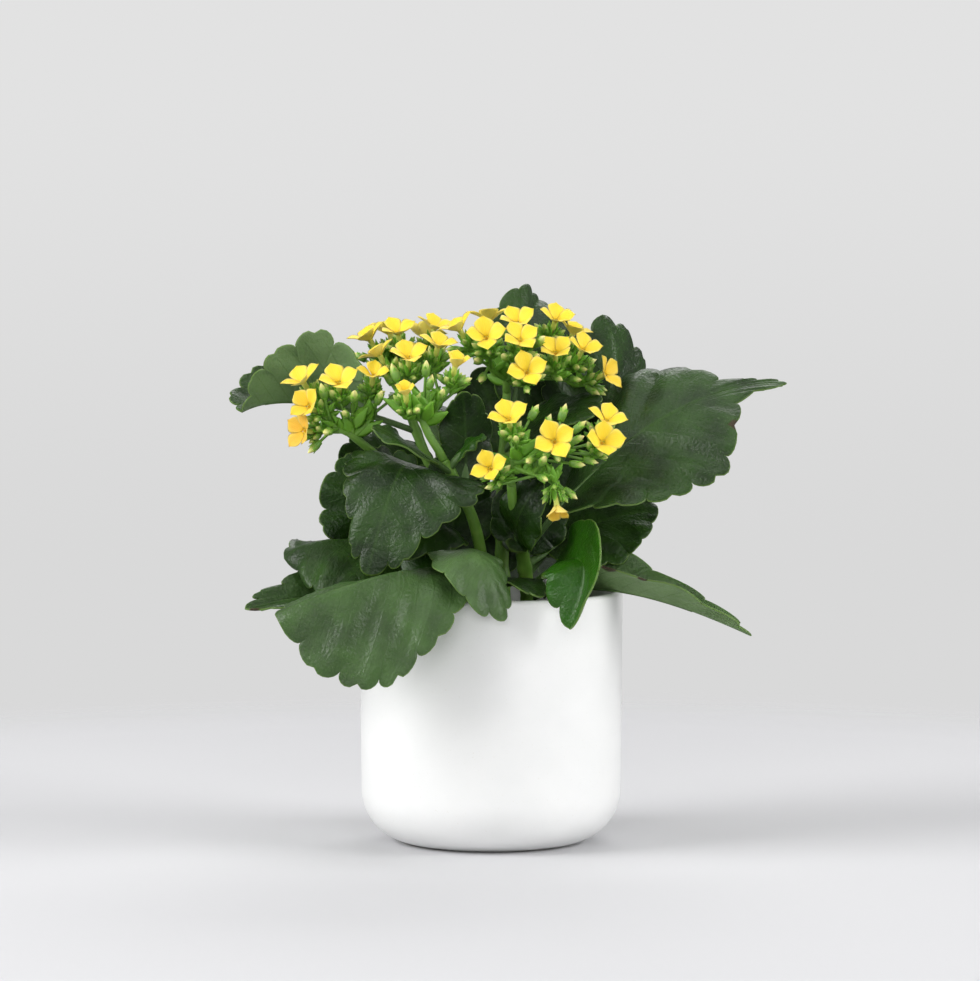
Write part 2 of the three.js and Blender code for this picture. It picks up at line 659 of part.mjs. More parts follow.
        half: 32, left: [-8, 20], right: [-8, 20], columns: 1 },
      { name: "back_high", z: 144, bend: [21, 52, 182], tip: [30, 66, 182], up: [0.04, 0.5, 0.87],
        half: 27, left: [-8, 20], right: [-6, 20], columns: 1 },
      { name: "back_centre", z: 157, bend: [5, 27, 187], tip: [-6, 21, 215], up: [-0.1, -0.95, 0.29],
        half: 21, left: [-4, 20], right: [-7, 20], columns: 1 },
    ],
  },
  shoot_back_left: {
    stems: [
      [[-14, 18, 107], [-16, 18, 130], [-22, 16, 155], [-31, 14, 178], [-37, 14, 194]],
    ],
    leaves: [
      { name: "far_left", z: 186, bend: [-91, 16, 208], tip: [-113, -5, 196], up: [0.26, 0.24, 0.93],
        half: 34, rightShare: 0.98, stalk: 0.17, skew: 0.15, point: 0.13, left: [-58, -68],
        right: [-8, -85] },
      { name: "back_left_low", z: 122, bend: [-42, 55, 150], tip: [-62, 72, 112], up: [-0.41, 0.41, 0.82],
        half: 34, columns: 1 },
      { name: "back_middle", z: 150, bend: [-27, 48, 195], tip: [-32, 64, 198], up: [0, 0.65, 0.76],
        half: 26, left: [-8, 20], right: [-8, 20], columns: 1 },
      { name: "back_left_high", z: 138, bend: [-45, 28, 168], tip: [-70, 28, 176], up: [-0.1, -0.75, 0.65],
        half: 25, left: [-8, 20], right: [-8, 20], columns: 1 },
    ],
  },
};

// ---- Flower heads ----

// Each head grows on from the end of one of a shoot's stems. A bloom is given by its throat and the way
// it faces.
const HEADS = {
  head_a: {
    shoot: "shoot_left", through: [[-57, -21, 182], [-64, -25, 188]],
    branches: [[-72, -28, 193], [-62, -27, 197], [-52, -24, 197]],
    blooms: [
      { at: [-84, -24, 210], face: [-0.5, -0.3, 0.8] },
      { at: [-68, -31, 210], face: [0, -0.6, 0.8], spin: 0.4 },
      { at: [-53, -26, 213], face: [0.1, -0.5, 0.85], size: 0.8 },
      { at: [-81, -35, 200], face: [-0.5, -0.75, 0.45], spin: 0.3, size: 0.9 },
      { at: [-83, -32, 189], face: [-0.7, -0.7, 0.1], spin: 0.3, size: 0.9 },
    ],
    buds: [
      [-61, -38, 205], [-65, -36, 197], [-73, -38, 189], [-79, -34, 182], [-43, -24, 204],
      [-57, -20, 206], [-75, -36, 207], [-50, -32, 204],
    ],
  },
  head_b: {
    shoot: "shoot_centre", through: [[-28, -35, 188], [-31, -35, 195]],
    branches: [[-40, -33, 202], [-30, -32, 204], [-22, -30, 203]],
    blooms: [
      { at: [-50, -17, 222], face: [-0.5, 0, 0.85], size: 0.9 },
      { at: [-37, -26, 221], face: [0, -0.5, 0.85], spin: 0.3 },
      { at: [-24, -22, 226], face: [0.2, -0.3, 0.9], size: 0.9 },
      { at: [-38, -42, 206], face: [-0.1, -0.5, 0.85], size: 0.6, lift: 60 },
      { at: [-16, -34, 218], face: [0.2, -0.3, 0.9], size: 0.75, lift: 55 },
    ],
    buds: [
      [-29, -37, 217], [-33, -45, 199], [-43, -31, 215], [-27, -36, 211], [-12, -30, 210],
      [-22, -42, 206], [-18, -24, 212], [-46, -24, 212],
    ],
  },
  head_c: {
    shoot: "shoot_back", through: [[7, 7, 206], [7, 4, 212]],
    branches: [[-2, -6, 218], [12, -10, 218], [26, -6, 218], [34, 0, 214]],
    blooms: [
      { at: [-2, -22, 230], face: [-0.1, -0.75, 0.65], spin: 0.1 },
      { at: [-14, -4, 233], face: [-0.5, -0.2, 0.85], size: 0.9 },
      { at: [-1, 3, 237], face: [0, 0.1, 1] },
      { at: [12, -8, 236], face: [0, -0.5, 0.85], spin: 0.5, size: 0.95 },
      { at: [29, -2, 237], face: [0.25, -0.5, 0.85], spin: 0.2, size: 0.9 },
      { at: [13, -24, 229], face: [0.1, -0.7, 0.7], size: 0.9, spin: 0.6 },
      { at: [37, 4, 231], face: [0.3, -0.1, 0.9], size: 0.85 },
      { at: [29, -20, 223], face: [0, -0.6, 0.8], size: 0.9, spin: 0.7 },
      { at: [41, -9, 224], face: [0.4, -0.5, 0.75], spin: 0.3, size: 0.9 },
      { at: [51, -8, 213], face: [0.8, -0.4, 0.4], size: 0.9 },
      { at: [16, -30, 215], face: [0.1, -0.85, 0.5], spin: 0.4 },
    ],
    buds: [
      [22, -24, 229], [6, -26, 222], [38, -10, 211], [46, -6, 206], [-6, -20, 220], [30, -14, 212],
      [-4, -16, 212], [20, -26, 222], [44, 4, 218], [4, 8, 226], [16, 6, 226],
    ],
  },
  head_d: {
    shoot: "shoot_right", through: [[9, -49, 172], [9, -51, 178]],
    branches: [[20, -52, 180], [32, -52, 182], [12, -50, 186], [24, -56, 171]],
    blooms: [
      { at: [8, -54, 195], face: [-0.1, -0.6, 0.8], spin: 0.3 },
      { at: [28, -64, 186], face: [0, -0.9, 0.45], spin: 0.5 },
      { at: [51, -46, 194], face: [0.3, -0.5, 0.8], size: 0.9 },
      { at: [49, -57, 185], face: [0.3, -0.8, 0.5], spin: 0.3 },
      { at: [0, -63, 174], face: [-0.3, -0.85, 0.45], size: 0.85, spin: 0.1 },
      { at: [29, -65, 158], face: [0.1, -0.4, -0.9], size: 0.7, lift: 50 },
    ],
    buds: [
      [19, -46, 198], [32, -48, 198], [39, -52, 192], [38, -61, 187], [11, -62, 187], [17, -63, 178],
      [23, -66, 178], [23, -65, 170], [35, -60, 163], [44, -54, 177], [38, -60, 176], [25, -50, 194],
      [1, -56, 166],
    ],
  },
  head_e: {
    shoot: "shoot_back_left", through: [[-39, 14, 202], [-41, 14, 209]],
    branches: [[-49, 14, 214], [-33, 12, 214]],
    blooms: [
      { at: [-55, 10, 228], face: [-0.5, -0.2, 0.85] },
      { at: [-46, 20, 230], face: [-0.1, 0.3, 0.95] },
      { at: [-42, 3, 231], face: [-0.1, -0.45, 0.88], spin: 0.5, size: 0.9 },
      { at: [-26, 8, 233], face: [0.25, -0.2, 0.95], spin: 0.3, size: 0.9 },
      { at: [-30, 24, 228], face: [0.2, 0.5, 0.85] },
    ],
    buds: [
      [-42, 12, 226], [-36, 20, 224], [-60, 20, 220], [-22, 16, 220], [-46, 30, 220],
    ],
  },
  head_f: {
    shoot: "shoot_back", stem: 1, through: [[22, 35, 182], [24, 38, 188]],
    branches: [[16, 44, 194], [32, 42, 194]],
    blooms: [
      { at: [10, 48, 207], face: [-0.4, 0.3, 0.85] },
      { at: [24, 58, 205], face: [0.1, 0.65, 0.75], spin: 0.4 },
      { at: [27, 38, 211], face: [0.1, -0.1, 1], spin: 0.2 },
      { at: [42, 48, 206], face: [0.5, 0.3, 0.8] },
    ],
    buds: [
      [19, 42, 209], [35, 52, 206], [14, 56, 200], [40, 58, 198],
    ],
  },
};

// ---- Assembly ----

const material = (name, color, roughness) =>
  new THREE.MeshStandardMaterial({ name, color, roughness, metalness: 0 });

const assembly = new THREE.Group();
assembly.name = "potted_kalanchoe";

function addPart(name, geometry, look) {
  const mesh = new THREE.Mesh(geometry, material(`${name}_${look.name}`, look.color, look.roughness));
  mesh.name = name;
  assembly.add(mesh);
}

const LOOKS = {
  ceramic: { name: "white_glaze", color: "#f1f1ef", roughness: 0.4 },
  soil: { name: "soil", color: "#2f241b", roughness: 0.95 },
  leaf: { name: "leaf_green", color: "#2f4f2b", roughness: 0.5 },
  stalk: { name: "stalk_green", color: "#6d9c37", roughness: 0.55 },
  petal: { name: "petal_yellow", color: "#f4cf1c", roughness: 0.6 },
};

addPart("pot", potGeometry(), LOOKS.ceramic);
addPart("soil", soilGeometry(Object.values(SHOOTS).map((shoot) => shoot.stems[0][0])), LOOKS.soil);
for (const [name, shoot] of Object.entries(SHOOTS))
  addPart(name, geometryOfSolid(fuse(shootGeometries(shoot))), LOOKS.leaf);
for (const [name, head] of Object.entries(HEADS)) {
  const [below, end] = SHOOTS[head.shoot].stems[head.stem ?? 0].slice(-2).map(vec);
  const along = end.clone().sub(below).normalize();
  const start = [JOINT_GAP, 5].map((distance) => end.clone().addScaledVector(along, distance).toArray());
  const whole = { ...head, stem: [...start, ...head.through], radii: [STEM.topRadius, HEAD.topRadius] };
  addPart(name, geometryOfSolid(fuse(headGeometries(whole))), LOOKS.stalk);
  const blooms = name.replace("head", "bloom");
  head.blooms.forEach((bloom, i) => addPart(`${blooms}_${i + 1}`, bloomGeometry(bloom), LOOKS.petal));
}

export default assembly;
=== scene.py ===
"""The looks of a potted kalanchoe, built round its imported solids.

The classes below hold their sizes in millimetres unless they say otherwise, in the frame of the
part: +Z up, the origin at the middle of the pot's foot, the plant's front facing -Y.
"""

from __future__ import annotations

import logging
import math
from dataclasses import dataclass, field
from enum import Enum
from typing import Any, ClassVar, Iterable, Sequence, Union

import bpy
import numpy as np
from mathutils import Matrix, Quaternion, Vector, noise


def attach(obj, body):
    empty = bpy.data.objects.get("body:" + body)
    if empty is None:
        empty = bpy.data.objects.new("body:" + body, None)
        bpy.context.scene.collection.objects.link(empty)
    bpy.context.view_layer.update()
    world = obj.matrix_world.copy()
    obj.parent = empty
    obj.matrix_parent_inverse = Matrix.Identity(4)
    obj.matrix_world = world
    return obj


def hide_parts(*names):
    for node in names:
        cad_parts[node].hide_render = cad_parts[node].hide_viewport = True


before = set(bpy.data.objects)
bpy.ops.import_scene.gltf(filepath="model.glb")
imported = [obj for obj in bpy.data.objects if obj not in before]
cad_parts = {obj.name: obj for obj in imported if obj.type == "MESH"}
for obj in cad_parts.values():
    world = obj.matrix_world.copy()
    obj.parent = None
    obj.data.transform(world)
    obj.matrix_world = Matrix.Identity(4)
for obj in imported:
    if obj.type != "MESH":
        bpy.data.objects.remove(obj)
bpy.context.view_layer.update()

MM = 0.001
QUARTER = math.pi / 2
HEAD_SEED = 40
BLOOM_SEEDS = 1000
log = logging.getLogger("kalanchoe")

Point = tuple[float, float, float]
Faces = list[tuple[int, ...]]
Operand = Union["Wire", float]
Tint = Union["Wire", str]


class Slot(Enum):
    """The material slots."""

    CERAMIC = "ceramic"
    SOIL = "soil"
    LEAF = "leaf"
    STALK = "stalk"
    PETAL = "petal"


# ---- Numbers and curves ----


def smooth(value: np.ndarray, low: float, high: float) -> np.ndarray:
    """Steps evenly and softly from 0 at low to 1 at high.

    Args:
        value: Where to read the step.
        low: Where it starts.
        high: Where it ends.

    Returns:
        The step's height at each value.
    """
    share = np.clip((np.asarray(value, float) - low) / (high - low), 0, 1)
    return share * share * (3 - 2 * share)


def unit(vectors: np.ndarray) -> np.ndarray:
    """Vectors of length one along the given ones."""
    return vectors / np.maximum(np.linalg.norm(vectors, axis=-1, keepdims=True), 1e-9)


def through(points: Sequence[Sequence[float]], shares: np.ndarray) -> np.ndarray:
    """Follows the smooth curve through a stalk's points.

    Args:
        points: The points that the stalk passes.
        shares: How far along it to read, from 0 to 1.

    Returns:
        One point of the curve for each share.
    """
    given = np.asarray(points, float)
    line = np.vstack([2 * given[0] - given[1], given, 2 * given[-1] - given[-2]])
    place = np.clip(shares, 0, 1) * (len(given) - 1)
    first = np.minimum(place.astype(int), len(given) - 2)
    t = (place - first)[:, None]
    a, b, c, d = (line[first + k] for k in range(4))
    leave, arrive = (c - a) / 2, (d - b) / 2
    cubic = 2 * b - 2 * c + leave + arrive
    square = -3 * b + 3 * c - 2 * leave - arrive
    return b + leave * t + square * t**2 + cubic * t**3


def bow(start: np.ndarray, bend: np.ndarray, end: np.ndarray, t: np.ndarray) -> np.ndarray:
    """Points of the plain curve that leaves a start toward a bend and comes to an end from it."""
    return (1 - t) ** 2 * start + 2 * (1 - t) * t * bend + t**2 * end


def facing(direction: Sequence[float], spin: float = 0.0) -> np.ndarray:
    """Turns what is drawn round +Z to face a direction.

    Args:
        direction: Where +Z goes.
        spin: A first turn about +Z, in radians.

    Returns:
        The turn as a 3 by 3 matrix.
    """
    swing = Vector((0, 0, 1)).rotation_difference(Vector(direction))
    return np.array((swing @ Quaternion((0, 0, 1), spin)).to_matrix())


def turned(points: np.ndarray, turn: float) -> np.ndarray:
    """The points after a turn about +Z, in radians."""
    c, s = math.cos(turn), math.sin(turn)
    return points @ np.array([[c, s, 0], [-s, c, 0], [0, 0, 1]])


def blank(rows: int, columns: int, ease: float = 1.0) -> list[np.ndarray]:
    """Lays out the grid that a petal or another small flat piece is drawn on.

    Args:
        rows: How many rows it has along the piece.
        columns: How many points each row has across it.
        ease: A power below 1 sets the first rows further apart.

    Returns:
        For each point its share of the length, and its share of the half width, from -1 to 1.
    """
    lengths = np.linspace(0, 1, rows) ** ease
    return list(np.meshgrid(lengths, np.linspace(-1, 1, columns), indexing="ij"))


# ---- Meshes ----


class Mould:
    """One piece as it grows: its points, its faces and the marks that its finish reads."""

    WELD_DECIMALS: ClassVar[int] = 4

    def __init__(self, marks: Iterable[str]) -> None:
        """Starts an empty piece.

        Args:
            marks: The names of the marks that its points carry.
        """
        self.marks: dict[str, list[np.ndarray]] = {name: [] for name in marks}
        self.points: list[np.ndarray] = []
        self.faces: Faces = []
        self.count = 0

    def add(self, points: np.ndarray, faces: Faces, **marks: Any) -> None:
        """Adds a shell to the piece.

        Args:
            points: Its points, in millimetres.
            faces: Its faces, as places in points.
            marks: Values for its points, one for all or one for each; what isn't given is 0.
        """
        flat = np.asarray(points, float).reshape(-1, 3)
        self.points.append(flat)
        self.faces += [tuple(corner + self.count for corner in face) for face in faces]
        for name, values in self.marks.items():
            values.append(np.broadcast_to(np.ravel(marks.get(name, 0.0)), (len(flat),)))
        self.count += len(flat)

    def rod(self, line: np.ndarray, radii: np.ndarray, sides: int, **marks: Any) -> None:
        """Adds a closed round rod about a line."""
        self.add(tube(line, radii, sides), ring_faces(len(line), sides), **marks)

    def cast(self, name: str, material: bpy.types.Material, node: str) -> None:
        """Makes the piece, in place of a solid of the part.

        Args:
            name: The piece's name.
            material: Its finish.
            node: The solid that it stands for.
        """
        points = np.concatenate(self.points)
        _, first, same = np.unique(
            np.round(points, self.WELD_DECIMALS), axis=0, return_index=True, return_inverse=True
        )
        same = same.reshape(-1)
        faces = []
        for face in self.faces:
            corners = [int(same[corner]) for corner in face]
            kept = [c for c, before in zip(corners, corners[-1:] + corners[:-1]) if c != before]
            if len(set(kept)) > 2:
                faces.append(kept)
        mesh = bpy.data.meshes.new(name)
        mesh.from_pydata((points[first] * MM).tolist(), [], faces)
        mesh.update()
        mesh.polygons.foreach_set("use_smooth", [True] * len(mesh.polygons))
        for mark, values in self.marks.items():
            layer = mesh.attributes.new(mark, "FLOAT", "POINT")
            layer.data.foreach_set("value", np.concatenate(values)[first].astype(np.float32))
        mesh.materials.append(material)
        piece = bpy.data.objects.new(name, mesh)
        bpy.context.scene.collection.objects.link(piece)
        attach(piece, "root")
        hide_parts(node)
        log.info("%s: %d faces for %s", name, len(faces), node)


def ring_faces(rings: int, sides: int) -> Faces:
    """Joins equal rings of points, each turning the same way, and closes both ends.

    Args:
        rings: How many rings there are.
        sides: How many points each has.

    Returns:
        Faces as places in the rings' points, one ring after another.
    """
    faces: Faces = []
    for i in range(rings - 1):
        for k in range(sides):
            n = (k + 1) % sides
            low, high = i * sides, (i + 1) * sides
            faces.append((low + k, low + n, high + n, high + k))
    faces.append(tuple(reversed(range(sides))))
    faces.append(tuple(range((rings - 1) * sides, rings * sides)))
    return faces


def sheet_faces(rows: int, columns: int, flip: bool = False) -> Faces:
    """Joins a grid of points with quads.

    Args:
        rows: How many rows of points there are.
        columns: How many points each has.
        flip: Whether the faces look the other way.

    Returns:
        Faces as places in the grid's points, row after row.
    """
    faces: Faces = []
    for i in range(rows - 1):
        for j in range(columns - 1):
            a = i * columns + j
            quad = (a, a + 1, a + columns + 1, a + columns)
            faces.append(tuple(reversed(quad)) if flip else quad)
    return faces


def tube(line: np.ndarray, radii: np.ndarray, sides: int) -> np.ndarray:
    """Lays rings about a line.

    Args:
        line: The points of its middle.
        radii: The radius at each.
        sides: How many points each ring has.

    Returns:
        The points of the rings, one ring after another.
    """
    nearly_along = 0.3
    ahead = unit(np.gradient(line, axis=0))
    across = np.array([0.0, 1.0, 0.0])
    if np.linalg.norm(np.cross(across, ahead[0])) < nearly_along:
        across = np.array([1.0, 0.0, 0.0])
    turns = np.linspace(0, 2 * math.pi, sides, endpoint=False)
    rings = []
    for middle, way, radius in zip(line, ahead, radii):
        across = unit(across - way * (across @ way))
        other = np.cross(way, across)
        rings.append(
            middle + radius * (np.outer(np.cos(turns), across) + np.outer(np.sin(turns), other))
        )
    return np.concatenate(rings)


def lathe(profile: np.ndarray, sides: int, lobes: float = 0.0) -> np.ndarray:
    """Turns a profile about +Z.

    Args:
        profile: Rows of radius and height.
        sides: How many points each ring has.
        lobes: The share by which four ridges stand out.

    Returns:
        The points of the rings, one ring after another.
    """
    turns = np.linspace(0, 2 * math.pi, sides, endpoint=False)
    swell = 1 + lobes * np.cos(4 * turns)
    rings = []
    for radius, height in profile:
        x, y = radius * swell * np.cos(turns), radius * swell * np.sin(turns)
        rings.append(np.stack([x, y, np.full(sides, height)], axis=1))
    return np.concatenate(rings)


def plate(grid: np.ndarray, thickness: np.ndarray) -> tuple[np.ndarray, Faces, np.ndarray]:
    """Thickens a grid of points into a closed plate with a rounded rim.

    Args:
        grid: Rows of points of its middle surface.
        thickness: Its thickness at each point.

    Returns:
        The plate's points, its faces, and for each point 1 above and 0 below.
    """
    normal = unit(np.cross(np.gradient(grid, axis=1), np.gradient(grid, axis=0)))
    rows, columns = grid.shape[:2]
    half = thickness[..., None] / 2
    half[:, 0] = half[:, -1] = 0
    over = grid - normal * half
    under = grid + normal * half
    rings = np.concatenate([over, under[:, -2:0:-1]], axis=1)
    sides = rings.shape[1]
    top = np.concatenate([np.ones((rows, columns)), np.zeros((rows, columns - 2))], axis=1)
    return rings.reshape(-1, 3), ring_faces(rows, sides), top.reshape(-1)


# ---- Finishes ----


def linear(code: str) -> tuple[float, float, float, float]:
    """Turns a colour code into what a socket takes.

    Args:
        code: Red, green and blue in two hexadecimal digits each.

    Returns:
        The linear colour, opaque.
    """
    parts = [int(code[k : k + 2], 16) / 255 for k in (0, 2, 4)]
    bent = [c / 12.92 if c <= 0.04045 else ((c + 0.055) / 1.055) ** 2.4 for c in parts]
    return (bent[0], bent[1], bent[2], 1.0)


class Wire:
    """A socket of a finish's nodes that Python's operators work on."""

    def __init__(self, recipe: Recipe, socket: bpy.types.NodeSocket) -> None:
        """Wraps a socket of a recipe."""
        self.recipe = recipe
        self.socket = socket

    def __add__(self, other: Operand) -> Wire:
        """This plus other."""
        return self.recipe.maths("ADD", self, other)

    __radd__ = __add__

    def __sub__(self, other: Operand) -> Wire:
        """This less other."""
        return self.recipe.maths("SUBTRACT", self, other)

    def __rsub__(self, other: Operand) -> Wire:
        """Other less this."""
        return self.recipe.maths("SUBTRACT", other, self)

    def __mul__(self, other: Operand) -> Wire:
        """This times other."""
        return self.recipe.maths("MULTIPLY", self, other)

    __rmul__ = __mul__

    def steps(self, low: float, high: float) -> Wire:
        """A soft step from 0 at low to 1 at high."""
        inputs = {0: self, 1: low, 2: high, 3: 0.0, 4: 1.0}
        return self.recipe.made("ShaderNodeMapRange", {"interpolation_type": "SMOOTHSTEP"}, inputs)

    def wave(self) -> Wire:
        """The sine of this."""
        return self.recipe.maths("SINE", self)

    def size(self) -> Wire:
        """This without its sign."""
        return self.recipe.maths("ABSOLUTE", self)


class Recipe:
    """The nodes of one finish."""

    def __init__(self, name: str) -> None:
        """Starts an empty finish.

        Args:
            name: The finish's name.
        """
        self.material = bpy.data.materials.new(name)
        self.material.use_nodes = True
        self.tree = self.material.node_tree
        self.tree.nodes.clear()

    def node(self, kind: str, settings: dict[str, Any], inputs: dict[Any, Any]) -> bpy.types.Node:
        """Adds one node.

        Args:
            kind: The node's type.
            settings: Its own settings, which are made first.
            inputs: A value or a wire for each socket, by name or place.

        Returns:
            The node.
        """
        made = self.tree.nodes.new(kind)
        for name, value in settings.items():
            setattr(made, name, value)
        for place, value in inputs.items():
            socket = made.inputs[place]
            if isinstance(value, Wire):
                self.tree.links.new(value.socket, socket)
            else:
                socket.default_value = linear(value) if isinstance(value, str) else value
        return made

    def made(
        self, kind: str, settings: dict[str, Any], inputs: dict[Any, Any], output: Any = 0
    ) -> Wire:
        """One output of a new node, which is added as by node."""
        return Wire(self, self.node(kind, settings, inputs).outputs[output])

    def maths(self, operation: str, first: Operand, second: Operand = 0.0) -> Wire:
        """One sum of values."""
        return self.made("ShaderNodeMath", {"operation": operation}, {0: first, 1: second})

    def mix(self, share: Operand, first: Tint, second: Tint) -> Wire:
        """Blends two colours.

        Args:
            share: How much of the second there is.
            first: The colour at 0.
            second: The colour at 1.

        Returns:
            The colour.
        """
        return self.made("ShaderNodeMix", {"data_type": "RGBA"}, {0: share, 6: first, 7: second}, 2)

    def mark(self, name: str) -> Wire:
        """A value that the piece's points carry."""
        return self.made("ShaderNodeAttribute", {"attribute_name": name}, {}, "Fac")

    def grain(self, size: float, detail: float = 3.0, stretch: Point = (1, 1, 1)) -> Wire:
        """Cloudy noise from 0 to 1.

        Args:
            size: The width of its spots in millimetres.
            detail: How many finer layers it has.
            stretch: How much finer it is along each axis.

        Returns:
            The noise.
        """
        place = {0: self.made("ShaderNodeTexCoord", {}, {}, "Object"), 1: stretch}
        scaled = self.made("ShaderNodeVectorMath", {"operation": "MULTIPLY"}, place)
        inputs = {"Vector": scaled, "Scale": 1 / (size * MM), "Detail": detail}
        return self.made("ShaderNodeTexNoise", {}, inputs)

    def bump(self, height: Wire, depth: float, under: Wire | None = None) -> Wire:
        """A relief.

        Args:
            height: Its height from 0 to 1.
            depth: What a height of 1 is, in millimetres.
            under: A relief that it lies on.

        Returns:
            The normal.
        """
        inputs: dict[Any, Any] = {"Strength": 1.0, "Distance": depth * MM, "Height": height}
        if under is not None:
            inputs["Normal"] = under
        return self.made("ShaderNodeBump", {}, inputs)

    def coat(self, **sockets: Any) -> bpy.types.Material:
        """Closes the finish with its surface.

        Args:
            sockets: The surface's sockets, with _ for a space.

        Returns:
            The finished material.
        """
        inputs = {name.replace("_", " "): value for name, value in sockets.items()}
        surface = self.node("ShaderNodeBsdfPrincipled", {}, inputs)
        output = self.node("ShaderNodeOutputMaterial", {}, {})
        self.tree.links.new(surface.outputs[0], output.inputs["Surface"])
        return self.material


@dataclass(frozen=True)
class Glaze:
    """The pot's smooth white glaze. Sizes and depths are in millimetres here and below."""

    white: str = "f4f4f3"
    cool: str = "eaebea"
    bare: str = "d8d2c6"
    gloss: float = 0.3
    cloud_size: float = 24
    pore_size: float = 0.9
    foot_ring: tuple[float, float] = (0.1, 1.2)
    waviness: float = 0.12
    pore_depth: float = 0.02

    def material(self) -> bpy.types.Material:
        """Mixes the glaze: faint clouds, a few pores, and a bare ring where the foot stands.

        Returns:
            The finished material.
        """
        recipe = Recipe("white_glaze")
        clouds = recipe.grain(self.cloud_size)
        pores = recipe.grain(self.pore_size, 1).steps(0.7, 0.78)
        foot = 1 - recipe.mark("height").steps(*self.foot_ring)
        colour = recipe.mix(clouds, self.white, self.cool)
        colour = recipe.mix(pores * 0.25, colour, self.bare)
        colour = recipe.mix(foot * 0.7, colour, self.bare)
        relief = recipe.bump(clouds, self.waviness)
        relief = recipe.bump(1 - pores, self.pore_depth, relief)
        return recipe.coat(
            Base_Color=colour,
            Roughness=self.gloss + 0.08 * clouds + 0.4 * foot,
            Normal=relief,
            Coat_Weight=0.15,
            Coat_Roughness=0.12,
            Specular_IOR_Level=0.45,
        )


@dataclass(frozen=True)
class Compost:
    """Dark crumbly potting soil."""

    dark: str = "1b130d"
    light: str = "4a3828"
    fibre: str = "6e5a43"
    crumb_size: float = 2.4
    grit_size: float = 0.6
    fibre_size: float = 1.6
    depth: float = 0.8

    def material(self) -> bpy.types.Material:
        """Mixes dark earth, paler crumbs and pale fibres.

        Returns:
            The finished material.
        """
        recipe = Recipe("soil")
        crumbs = recipe.grain(self.crumb_size, 5)
        fibres = recipe.grain(self.fibre_size, 2, (1, 0.15, 1)).steps(0.6, 0.72)
        colour = recipe.mix(crumbs.steps(0.35, 0.7), self.dark, self.light)
        colour = recipe.mix(fibres * recipe.mark("chip"), colour, self.fibre)
        return recipe.coat(
            Base_Color=colour,
            Roughness=0.8 + 0.18 * crumbs,
            Normal=recipe.bump(crumbs + 0.4 * recipe.grain(self.grit_size), self.depth),
            Specular_IOR_Level=0.25,
        )


